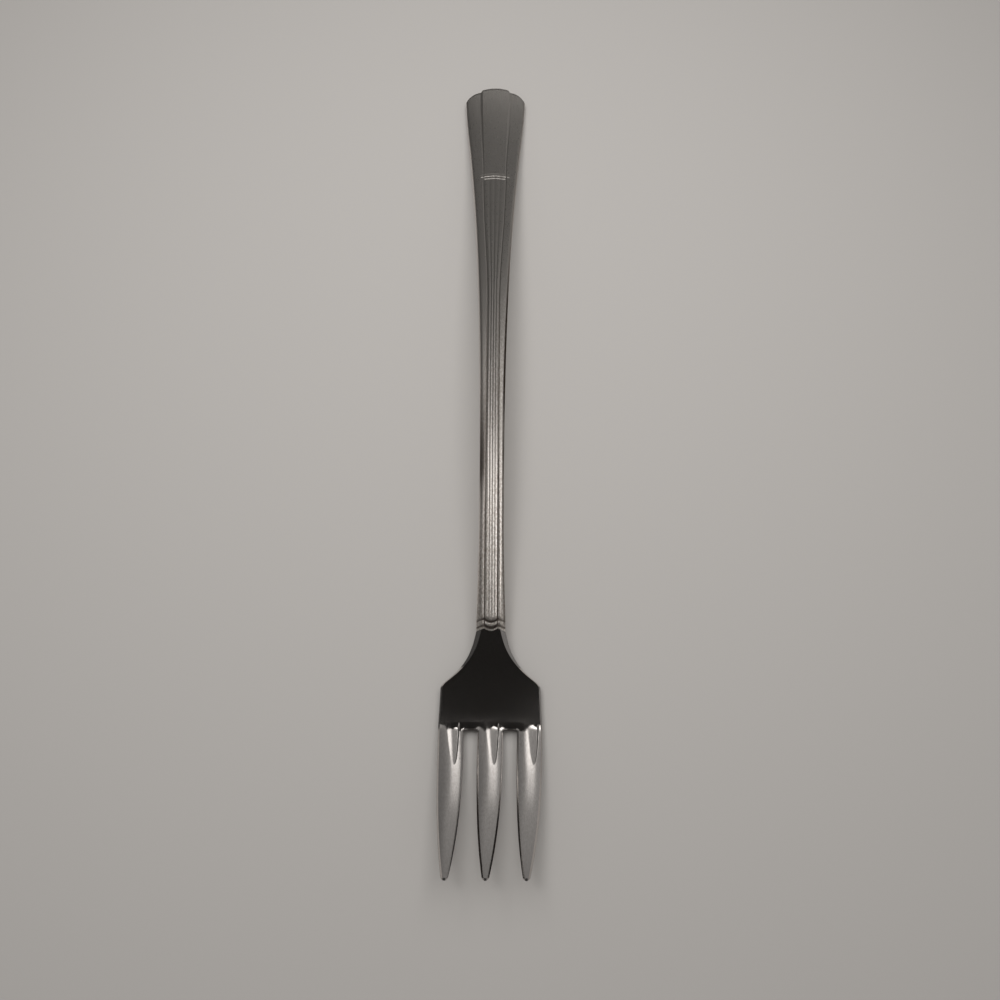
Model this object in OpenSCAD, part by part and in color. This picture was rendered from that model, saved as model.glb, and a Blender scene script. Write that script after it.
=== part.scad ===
// Oyster fork: a small three-tined fork with a fan-ended, reeded handle, stamped from one
// strip of stainless steel. It lies on its back. Z is up, the points of the tines look
// along -Y, the fan along +Y, and X runs across. The origin is under the middle of the fork.
// Every place along the fork is a distance from the points, in millimetres.

/* [Tines] */
// Length of a tine, from the points to the ends of the slots
tine_length = 20.5; // [16:0.5:28]
// Width of a tine where it leaves the head
tine_width = 3.85; // [3:0.05:4.6]
// Width of a tine at its point
point_width = 0.9; // [0.6:0.1:1.4]
// Distance between the middles of two tines at the head
tine_pitch = 6.05; // [5.6:0.05:7]
// Distance between the middles of two tines at the points
point_pitch = 5.75; // [5.2:0.05:6.6]
// Thickness of a tine at its point
point_thickness = 0.9; // [0.6:0.1:1.4]
// Height of the backs of the points above the table
point_rise = 6; // [3:0.5:9]
// How far the points lean to the left
point_lean = 0.45; // [0:0.05:0.8]
// Height of the crown across a tine
tine_crown = 0.12; // [0:0.02:0.4]
// Depth of the pointed scoop at the start of each tine
scoop_depth = 0.155; // [0:0.005:0.3]
// Length of the scoop
scoop_length = 6.2; // [4:0.1:10]
// Width of the scoop at its start
scoop_width = 2.2; // [1:0.1:2.6]

/* [Head] */
// Distance from the ends of the slots to the shoulders
shoulder_length = 7; // [4:0.1:10]
// Width across the shoulders
shoulder_width = 15.5; // [13.5:0.1:16.2]
// Distance from the shoulders to the collar
flare_length = 8.4; // [6:0.2:14]
// Thickness of the head
head_thickness = 1.6; // [1.2:0.1:2]
// Depth of the rounded end of a slot
slot_end = 0.2; // [0.1:0.05:1.2]
// Rounding of the shoulders
shoulder_round = 0.9; // [0.3:0.1:1.4]

/* [Collar] */
// Width of the collar
collar_width = 4.55; // [4.2:0.05:5.4]
// Thickness at the collar
collar_thickness = 2.5; // [2.1:0.1:3]
// Length of the lip on the head's side
lip_length = 0.5; // [0.4:0.1:1.2]
// Length of the bead
bead_length = 1; // [0.8:0.1:1.8]
// Height of the lip and the bead
bead_height = 0.08; // [0.04:0.02:0.2]
// Depth of the cut lines beside the bead
cut_depth = 0.24; // [0.06:0.02:0.3]
// Sag of the cut lines towards the head
collar_sag = 0.38; // [0:0.02:0.5]

/* [Shank] */
// Length of the shank, from the collar to the cross bars
shank_length = 84.15; // [60:0.05:110]
// Narrowest width of the shank
waist_width = 3.9; // [3.5:0.05:4.2]
// Distance from the collar to the narrowest place
waist_distance = 14.8; // [8:0.2:24]
// Thickness of the shank
shank_thickness = 2.3; // [1.9:0.1:2.8]
// Height of the shank's back above the table at the top of its arch
arch_height = 7; // [4:0.5:10]
// Distance from the heel to the top of the arch
arch_distance = 54; // [44:1:66]
// Width of the middle panel at the waist
panel_width = 1.74; // [1.5:0.02:1.9]
// Width of a cut groove beside the middle panel
groove_width = 0.3; // [0.2:0.02:0.4]
// Depth of a cut groove
groove_depth = 0.11; // [0.05:0.01:0.24]
// Height of the fine reeds on the middle panel
reed_height = 0.09; // [0.03:0.01:0.14]
// Height of the ribs at the edges
rib_height = 0.035; // [0:0.005:0.12]

/* [Cross bars] */
// Distance from one bar to the next
bar_pitch = 0.65; // [0.5:0.05:1]
// Height of the bars
bar_height = 0.07; // [0.05:0.01:0.2]
// Length of the longest bar
bar_width = 5.2; // [4:0.1:6]
// Rise of the middle of the bars towards the fan
bar_rise = 0.4; // [0:0.05:0.7]

/* [Fan] */
// Length of the fan, from the cross bars to the end
fan_length = 22.5; // [16:0.1:30]
// Greatest width of the fan
fan_width = 12; // [10:0.2:14]
// Thickness of the fan
fan_thickness = 1.8; // [1.4:0.1:2.2]
// Width of the middle lobe
lobe_width = 5.1; // [4:0.1:6]
// Rise of the middle lobe's rounded end
lobe_dome = 0.4; // [0.1:0.05:0.9]
// Step from the middle lobe down to a side lobe
lobe_step = 0.45; // [0.2:0.05:0.9]
// Drop of a side lobe from its step to its corner
side_drop = 2.8; // [1.5:0.1:3.6]
// Width of the flutes beside the middle lobe
flute_width = 0.85; // [0.5:0.05:1.1]
// Height of the middle panel above the side panels
panel_rise = 0.12; // [0:0.02:0.24]

/* [Hidden] */

// The fork lies on its heel, below the head, and on the back of the fan
heel_inset = 3.7;
fan_rest_inset = 4.6;
foot_depth = 0.03;
cut_overrun = 1;

// Rounding of the long edges: how far it reaches in, and how much it takes off
shank_edge_reach = 0.55;
shank_edge_drop = 0.5;
neck_edge_reach = 0.8;
neck_edge_drop = 0.55;
head_edge_reach = 0.24;
head_edge_drop = 0.2;
head_back_reach = 0.28;
head_back_lift = 0.22;
fan_edge_reach = 0.5;
fan_edge_drop = 0.3;
point_edge_reach = 0.3;
point_edge_drop = 0.3;
shank_back_reach = 0.8;
shank_back_lift = 0.55;
shank_crown = 0.12;
fan_crown = 0.28;
bar_fade = 0.35;
fan_corner_round = 0.8;
spread_length = 30;
reed_start = 1;

// The power of the edge's section: 1 for a straight bevel, 2 for a quarter ellipse
bevel_power = 1;
round_power = 2;

// The crown and the scoop start a little way into the head. The scoop's middle lies right
// of the tine's middle, and more so at its end. Its floor falls to a short steep wall
crown_lead = 1.4;
scoop_lead = 1.4;
scoop_fade = 1.1;
scoop_start = 0.28;
scoop_end = 0.65;
scoop_least = 0.001;

// How far the crown's ridge lies to the right of the tine's middle, at most
ridge_shift = 0.32;

// Where the reeds are worn down, and by how much
worn_place = 58;
worn_reed_share = 0.4;
start_reed_share = 0.25;

// Shares and powers that shape the curves
flare_line_share = 0.36;
point_cap_share = 0.9;
side_arc_share = 0.97;
panel_limit_share = 0.48;
collar_side_share = 0.9;
bar_panel_share = 0.47;
faded_reed_share = 0.5;
faint_bar_share = 0.45;
short_bar_share = 0.74;
scoop_wall_share = 0.1;
scoop_power = 0.5;
scoop_floor_power = 1.5;
ridge_power = 1.8;
groove_fade_share = 0.5;
tine_power = 1.6;
lean_power = 1.8;
waist_power = 1.6;
fan_power = 2.4;
taper_power = 3;
reeds = 4;

// Where the columns and rows of points lie, as shares of what they cross
tine_column_shares = [-1, -0.87, -0.45, -0.12, 0.2, 0.5, 0.68, 0.87, 1];
rib_column_shares = [0.2, 0.42, 0.65, 0.85];
tine_row_shares = [0, 0.012, 0.03, 0.06, 0.1, 0.17, 0.26, 0.38, 0.52, 0.64, 0.72, 0.8, 0.88, 0.95, 1];
shoulder_row_shares = [0, 0.03, 0.07, 0.18, 0.32, 0.48, 0.66, 0.84, 0.94];
flare_row_shares = [0, 0.05, 0.1, 0.16, 0.24, 0.34, 0.47, 0.63, 0.81, 1];
lip_row_shares = [0, 0.3, 0.6, 0.85, 1];
bead_row_shares = [0.12, 0.3, 0.5, 0.7, 0.88, 1];
bar_row_shares = [0.25, 0.5, 0.75, 1];
fan_row_shares = [0, 0.07, 0.16, 0.27, 0.39, 0.52, 0.65, 0.77, 0.86, 0.925, 0.965, 0.985, 1];
shank_row_shares = [for (k = [0:28]) k / 28];

// Places along the fork
root = tine_length;
heel = root + heel_inset;
shoulder = root + shoulder_length;
collar_start = shoulder + flare_length;
cut_line = collar_start + lip_length;
collar_end = cut_line + bead_length;
waist = collar_end + waist_distance;
arch = heel + arch_distance;
bars_start = collar_end + shank_length;
bars_end = bars_start + 3 * bar_pitch;
fan_end = bars_end + fan_length;
fan_corner = fan_end - lobe_dome - lobe_step - side_drop;
fan_rest = fan_end - fan_rest_inset;

// Half widths
tine_half = tine_width / 2;
root_half = tine_pitch + tine_half;
slot_half = tine_pitch / 2 - tine_half;
shoulder_half = shoulder_width / 2;
collar_half = collar_width / 2;
waist_half = waist_width / 2;
fan_half = fan_width / 2;
lobe_half = lobe_width / 2;

// Helpers: a share held between 0 and 1, an even blend, a lesser of two with a rounded
// corner, a smooth run through a table of places and values, and a rounded edge
function clamp(t) = min(1, max(0, t));
function smooth(t) = t * t * (3 - 2 * t);
function mix(a, b, t) = a + (b - a) * t;
function soft_min(a, b, r) = min(a, b) - pow(max(0, r - abs(a - b)), 2) / (4 * r);
function along(table, s, i = 0) =
    s <= table[0][0] ? table[0][1]
    : i == len(table) - 1 ? table[i][1]
    : s > table[i + 1][0] ? along(table, s, i + 1)
    : mix(table[i][1], table[i + 1][1],
          smooth((s - table[i][0]) / (table[i + 1][0] - table[i][0])));
function rounded(reach, size, power, d) =
    size * (1 - pow(max(0, 1 - pow(1 - clamp(d / reach), power)), 1 / power));

// Height of the middle of the back. It dips a little at the feet, which are cut flat
function spring(t) = 1 - pow(1 - t, 3) * (1 + 3 * t);
function settle(t) = pow(1 - t * t, 2);
function back_height(s) =
    s < heel ? (point_rise + foot_depth) * pow((heel - s) / heel, tine_power) - foot_depth
    : s < arch ? (arch_height + foot_depth) * spring((s - heel) / arch_distance) - foot_depth
    : (arch_height + foot_depth) * settle((s - arch) / (fan_rest - arch)) - foot_depth;

function thickness(s) = along([
    [0, point_thickness], [root, head_thickness], [shoulder, head_thickness],
    [collar_start, collar_thickness], [collar_end, collar_thickness],
    [waist, shank_thickness], [arch, shank_thickness], [bars_end, fan_thickness]
], s);

// Half of the fork's width, from the ends of the slots to the corners of the fan
function flare(t) = flare_line_share * t + (1 - flare_line_share) * pow(t, 3);
function head_half(s) = soft_min(
    mix(root_half, shoulder_half, (s - root) / shoulder_length),
    mix(collar_half, shoulder_half, flare(max(0, collar_start - s) / flare_length)),
    shoulder_round);
function handle_half(s) = s < waist
    ? mix(waist_half, collar_half, pow(clamp((waist - s) / waist_distance), waist_power))
    : soft_min(fan_half,
               mix(waist_half, fan_half + fan_corner_round / 4,
                   pow((s - waist) / (fan_corner - waist), fan_power)),
               fan_corner_round);
function half_width(s) =
    s < collar_start ? head_half(s) : s < collar_end ? collar_half : handle_half(s);

// Half of the middle panel's width, and the width of the groove beside it
function panel_half(s) = min(panel_limit_share * half_width(s), along([
    [bars_start - spread_length, panel_width / 2],
    [bars_start, bar_panel_share * handle_half(bars_start)],
    [fan_corner, lobe_half]
], s));
function groove_across(s) = along([[bars_end, groove_width], [fan_corner, flute_width]], s);

// Edge rounding and crown of the face, and edge rounding of the back
function edge_reach(s) = along([
    [0, point_edge_reach], [root, head_edge_reach], [shoulder, head_edge_reach],
    [collar_start, neck_edge_reach], [waist, shank_edge_reach], [bars_end, shank_edge_reach],
    [fan_corner, fan_edge_reach]
], s);
function edge_drop(s) = along([
    [0, point_edge_drop], [root, head_edge_drop], [shoulder, head_edge_drop],
    [collar_start, neck_edge_drop], [waist, shank_edge_drop], [bars_end, shank_edge_drop],
    [fan_corner, fan_edge_drop]
], s);
function edge_power(s) = along([[collar_start, bevel_power], [waist, round_power]], s);
function crown(s) = along([
    [shoulder, 0], [collar_start, shank_crown], [bars_end, shank_crown], [fan_corner, fan_crown]
], s);
function back_reach(s) = along([
    [0, point_edge_reach], [root, head_back_reach], [shoulder, head_back_reach],
    [collar_start, shank_back_reach], [bars_end, shank_back_reach], [fan_corner, fan_edge_reach]
], s);
function back_lift(s) = along([
    [0, point_edge_drop], [root, head_back_lift], [shoulder, head_back_lift],
    [collar_start, shank_back_lift], [bars_end, shank_back_lift], [fan_corner, fan_edge_drop]
], s);

// The collar's cut lines are scalloped and the bars bowed, so their places change across
function collar_line(x) =
    let (g = panel_half(collar_end) + groove_width / 2, q = abs(x))
    q < g ? -collar_sag * (1 - pow(q / g, 2))
    : -collar_sag * collar_side_share * (q - g) / (collar_half - g);
function bar_line(x) = bar_rise * max(0, 1 - pow(2 * x / bar_width, 2));
function collar_relief(s) = along([
    [collar_start, 0], [collar_start + lip_length / 2, bead_height],
    [cut_line, -cut_depth], [cut_line + bead_length / 2, bead_height],
    [collar_end, -cut_depth], [collar_end + bead_length / 3, 0]
], s);

// Three bars: a short one, a long one and a faint one
function bar_relief(s, x) =
    let (t = (s - bars_start) / bar_pitch, n = floor(t),
         reach = (n == 0 ? short_bar_share : 1) * bar_width / 2)
    t <= 0 || t >= 3 ? 0
    : bar_height * pow(sin(180 * t), 2) * (n == 2 ? faint_bar_share : 1)
      * smooth(clamp((reach - abs(x)) / bar_fade + 1));

// Relief that runs along the handle: reeds, cut grooves, edge ribs and the fan's panels
function handle_relief(x, s) =
    let (q = abs(x), p = panel_half(s), g = groove_across(s), w = half_width(s),
         depth = along([[collar_start, 0], [cut_line, 1], [arch, 1],
                        [bars_start, groove_fade_share]], s),
         reed = -reed_height * along([[collar_end, 0], [collar_end + reed_start, start_reed_share],
                                      [worn_place, worn_reed_share], [arch, 1],
                                      [bars_start, faded_reed_share], [bars_end, 0]], s),
         side = -panel_rise * along([[bars_end, 0], [fan_corner, 1]], s))
    q < p ? reed * (1 - abs(sin(90 * reeds * (q / p + 1))))
    : q < p + g ? mix(reed, side, (q - p) / g)
                  - depth * groove_depth * (1 - abs(2 * (q - p) / g - 1))
    : side + depth * rib_height * sin(180 * clamp((q - p - g) / (w - p - g)));

// The face and the back at one place. The row's station sets the shape of its section,
// and d is the distance to the nearest edge
function point_at(x, s, z) = [x, s - fan_end / 2, z];
function face_point(x, s, station, d, relief = 0) = point_at(x, s,
    back_height(s) + thickness(s) + relief
    - crown(station) * pow(x / half_width(station), 2)
    - rounded(edge_reach(station), edge_drop(station), edge_power(station), d));
function back_point(x, s, station, d) = point_at(x, s,
    back_height(s) + rounded(back_reach(station), back_lift(station), round_power, d));

// A closed solid between two grids of points with as many rows and columns, in triangles
module slab(face, back) {
    rows = len(face);
    across = len(face[0]);
    function at(side, r, c) = (side * rows + r) * across + c;
    function cell(a, b, c, d) = [[a, b, c], [a, c, d]];
    polyhedron(
        points = [for (grid = [face, back]) for (row = grid) each row],
        faces = [
            for (r = [0:rows - 2], c = [0:across - 2]) each concat(
                cell(at(0, r, c), at(0, r + 1, c), at(0, r + 1, c + 1), at(0, r, c + 1)),
                cell(at(1, r, c), at(1, r, c + 1), at(1, r + 1, c + 1), at(1, r + 1, c))),
            for (r = [0:rows - 2]) each concat(
                cell(at(1, r, 0), at(1, r + 1, 0), at(0, r + 1, 0), at(0, r, 0)),
                cell(at(0, r, across - 1), at(0, r + 1, across - 1),
                     at(1, r + 1, across - 1), at(1, r, across - 1))),
            for (c = [0:across - 2]) each concat(
                cell(at(0, 0, c), at(0, 0, c + 1), at(1, 0, c + 1), at(1, 0, c)),
                cell(at(1, rows - 1, c), at(1, rows - 1, c + 1),
                     at(0, rows - 1, c + 1), at(0, rows - 1, c)))
        ],
        convexity = 6);
}

// Takes off what dips below the table, which leaves a flat foot
module foot_cut() {
    difference() {
        children();
        translate([-fan_width, -fan_end, -cut_overrun])
            cube([2 * fan_width, 2 * fan_end, cut_overrun]);
    }
}

// Columns across the handle keep to the reeds, grooves, ribs and edges
function mirrored(half) = [for (i = [len(half) - 1:-1:0]) -half[i], 0, each half];
function handle_columns(s) =
    let (w = half_width(s), p = panel_half(s), g = groove_across(s), edge = w - edge_reach(s),
         steps = 2 * reeds)
    mirrored([
        for (k = [1:steps]) p * k / steps,
        p + g / 2,
        p + g,
        for (share = rib_column_shares) mix(p + g, edge, share),
        edge,
        w
    ]);
column_count = len(handle_columns(waist));

// How far a row's place is from its station, where rows follow the collar and the bars
function row_offset(x, s) =
    collar_line(x) * along([[shoulder, 0], [collar_start, 1], [collar_end, 1], [waist, 0]], s)
    + bar_line(x) * along([[bars_start - spread_length, 0], [bars_start, 1]], s);

// A piece of the handle with a row of points at each station
function handle_place(x, s) = s + row_offset(x, s);
function handle_edge(x, s) = half_width(s) - abs(x);
function handle_face_point(x, s, station, d) = face_point(x, s, station, d,
    handle_relief(x, station) + collar_relief(s - collar_line(x))
    + bar_relief(s - bar_line(x), x));
module handle_piece(stations) {
    slab(
        [for (t = stations) [for (x = handle_columns(t))
            handle_face_point(x, handle_place(x, t), t, handle_edge(x, t))]],
        [for (t = stations) [for (x = handle_columns(t))
            back_point(x, handle_place(x, t), t, handle_edge(x, t))]]);
}

module shank() {
    color([0.62, 0.6, 0.57])
        handle_piece([for (share = shank_row_shares) mix(collar_end, bars_start, share)]);
}

module collar() {
    color([0.7, 0.68, 0.65])
        handle_piece([
            for (share = lip_row_shares) mix(collar_start, cut_line, share),
            for (share = bead_row_shares) mix(cut_line, collar_end, share)
        ]);
}

module cross_bars() {
    color([0.7, 0.68, 0.65])
        handle_piece([
            bars_start,
            for (n = [0:2], share = bar_row_shares) bars_start + (n + share) * bar_pitch
        ]);
}

// Outline of the fan's end: a middle lobe, then a step and a side lobe on either hand
function side_arc(t) = 1 - sqrt(1 - pow(side_arc_share * t, 2));
function end_line(x) =
    let (q = abs(x), beyond = q - lobe_half)
    beyond <= 0 ? fan_end - lobe_dome * pow(q / lobe_half, 2)
    : fan_end - lobe_dome - lobe_step * clamp(2 * beyond / flute_width)
      - side_drop * side_arc(clamp(beyond / (fan_half - lobe_half))) / side_arc(1);

// The fan's rows run from the bars to the outline of its end
end_columns = handle_columns(fan_corner);
function fan_place(i, x, share) =
    mix(handle_place(x, bars_end), end_line(end_columns[i]), share);
function fan_edge(i, x, share, station) =
    min(handle_edge(x, station), (1 - share) * (end_line(end_columns[i]) - bars_end));
module fan() {
    stations = [for (share = fan_row_shares) mix(bars_end, fan_corner, share)];
    function row(r, face) =
        let (share = fan_row_shares[r], t = stations[r], xs = handle_columns(t))
        [for (i = [0:column_count - 1])
            let (x = xs[i], s = fan_place(i, x, share), d = fan_edge(i, x, share, t))
            face ? handle_face_point(x, s, t, d) : back_point(x, s, t, d)];
    color([0.66, 0.64, 0.61])
        foot_cut()
            slab([for (r = [0:len(stations) - 1]) row(r, true)],
                 [for (r = [0:len(stations) - 1]) row(r, false)]);
}

// Depth of a tine's crown and pointed scoop, by the distance from the tine's middle
function ridge(s) = ridge_shift * pow(sin(180 * pow(clamp(s / root), ridge_power)), 2);
function scoop(dx, s) =
    let (down = root + scoop_lead - s,
         left = 1 - clamp(down / scoop_length),
         size = pow(left, scoop_power),
         share = 0.5 + (dx - mix(scoop_end, scoop_start, left)) / (scoop_width * size + scoop_least),
         fall = pow(clamp(share / (1 - scoop_wall_share)), scoop_floor_power),
         wall = smooth(clamp((1 - share) / scoop_wall_share)))
    scoop_depth * size * smooth(clamp(down / scoop_fade)) * fall * wall;
function hollow(dx, s) =
    tine_crown * pow((dx - ridge(s)) / tine_half, 2) * (1 - smooth(clamp((s - root) / crown_lead)))
    + scoop(dx, s);

// Columns across the head start at the tines and slots and close up to the handle's own
slot_columns = (column_count - 3 * len(tine_column_shares)) / 2;
function slot_xs(middle) =
    [for (k = [1:slot_columns]) middle + slot_half * (2 * k / (slot_columns + 1) - 1)];
root_columns = [
    for (share = tine_column_shares) -tine_pitch + tine_half * share,
    each slot_xs(-tine_pitch / 2),
    for (share = tine_column_shares) tine_half * share,
    each slot_xs(tine_pitch / 2),
    for (share = tine_column_shares) tine_pitch + tine_half * share
];
neck_columns = handle_columns(collar_start);
function head_columns(s) =
    let (t = smooth(clamp((s - root) / (collar_start - root))))
    [for (i = [0:column_count - 1])
        half_width(s) * mix(root_columns[i] / root_half, neck_columns[i] / collar_half, t)];

// How far the rounded end of a slot reaches past the tines' ends
function slot_reach(x) =
    let (u = (abs(x) - tine_pitch / 2) / slot_half)
    slot_end * sqrt(max(0, 1 - u * u));
function head_place(i, x, s) =
    s + row_offset(x, s) + slot_reach(root_columns[i]) * clamp((shoulder - s) / shoulder_length);
function slot_distance(x, s) = norm([
    max(0, abs(abs(x) - tine_pitch / 2) - slot_half),
    max(0, s - root - slot_reach(x))
]);
function nearest_tine(x) = tine_pitch * max(-1, min(1, round(x / tine_pitch)));
module head() {
    stations = [
        for (share = shoulder_row_shares) mix(root, shoulder, share),
        for (share = flare_row_shares) mix(shoulder, collar_start, share)
    ];
    function row(t, face) =
        let (xs = head_columns(t))
        [for (i = [0:column_count - 1])
            let (x = xs[i], s = head_place(i, x, t),
                 d = min(handle_edge(x, t), slot_distance(x, s)))
            face ? face_point(x, s, t, d, -hollow(x - nearest_tine(x), s))
            : back_point(x, s, t, d)];
    color([0.5, 0.49, 0.48])
        foot_cut()
            slab([for (t = stations) row(t, true)], [for (t = stations) row(t, false)]);
}

// A tine narrows to a blunt, rounded point. Place is -1 for the left one, 1 for the right
function point_cap(s) = sqrt(1 - pow(point_cap_share * (1 - clamp(2 * s / point_width)), 2));
function tine_half_at(s) =
    mix(point_width / 2, tine_half, 1 - pow(1 - s / root, taper_power)) * point_cap(s);
module tine(place) {
    function row(s, face) =
        let (middle = place * mix(point_pitch, tine_pitch, s / root)
                      - point_lean * pow(1 - s / root, lean_power),
             half = tine_half_at(s))
        [for (share = tine_column_shares)
            let (x = middle + half * share, d = min(half * (1 - abs(share)), s))
            face ? face_point(x, s, s, d, -hollow(half * share, s))
            : back_point(x, s, s, d)];
    color([0.78, 0.77, 0.75])
        slab([for (share = tine_row_shares) row(share * root, true)],
             [for (share = tine_row_shares) row(share * root, false)]);
}

module left_tine() { tine(-1); }
module middle_tine() { tine(0); }
module right_tine() { tine(1); }

fan();
cross_bars();
shank();
collar();
head();
left_tine();
middle_tine();
right_tine();
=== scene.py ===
"""Looks of a small oyster fork that lies on its back on a pale table.

Lengths are in millimetres, as in the part's source, until a mesh is made. A place along the
fork is its distance from the points of the tines, and x runs across the fork.
"""

import logging
import math
from dataclasses import dataclass, field
from enum import Enum
from typing import Optional

import bpy
import numpy as np
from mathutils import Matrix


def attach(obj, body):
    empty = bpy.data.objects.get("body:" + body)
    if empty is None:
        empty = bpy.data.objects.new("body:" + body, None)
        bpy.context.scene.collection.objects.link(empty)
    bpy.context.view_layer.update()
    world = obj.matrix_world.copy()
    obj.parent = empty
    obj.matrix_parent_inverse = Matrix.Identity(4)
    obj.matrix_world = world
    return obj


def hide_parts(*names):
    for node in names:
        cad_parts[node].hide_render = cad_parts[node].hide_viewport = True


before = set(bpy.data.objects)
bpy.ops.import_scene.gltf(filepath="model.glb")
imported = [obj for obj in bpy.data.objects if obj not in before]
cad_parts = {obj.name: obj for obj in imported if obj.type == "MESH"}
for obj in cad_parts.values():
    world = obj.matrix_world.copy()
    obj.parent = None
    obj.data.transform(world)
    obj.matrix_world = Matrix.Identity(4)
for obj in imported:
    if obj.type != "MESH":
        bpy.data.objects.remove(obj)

log = logging.getLogger("oyster_fork")
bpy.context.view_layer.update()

MM = 0.001
Array = np.ndarray


def clamp(value: Array) -> Array:
    """Holds values between 0 and 1."""
    return np.clip(value, 0.0, 1.0)


def smooth(share: Array) -> Array:
    """Eases a share from 0 to 1 with level ends."""
    return share * share * (3.0 - 2.0 * share)


def mix(first: Array, second: Array, share: Array) -> Array:
    """Blends evenly from the first value to the second."""
    return first + (second - first) * share


def soft_min(first: Array, second: Array, radius: float) -> Array:
    """The lesser of two values, with the corner between them rounded."""
    overlap = np.maximum(0.0, radius - np.abs(first - second))
    return np.minimum(first, second) - overlap**2 / (4.0 * radius)


def along(table: list[tuple[float, float]], s: Array) -> Array:
    """Runs smoothly through a table of places and values.

    Args:
        table: Pairs of a place and the value there, in order.
        s: Places to read the value at.

    Returns:
        The value at each place, level before the first and after the last.
    """
    places = np.array([row[0] for row in table])
    values = np.array([row[1] for row in table])
    low = np.clip(np.searchsorted(places, s) - 1, 0, len(table) - 2)
    share = clamp((s - places[low]) / (places[low + 1] - places[low]))
    return mix(values[low], values[low + 1], smooth(share))


def rounded(reach: Array, size: Array, power: Array, distance: Array) -> Array:
    """How much an edge's round takes off. A power of 2 is a round, and 1 a plain bevel."""
    share = 1.0 - clamp(distance / reach)
    return size * (1.0 - (1.0 - share**power) ** (1.0 / power))


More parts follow.
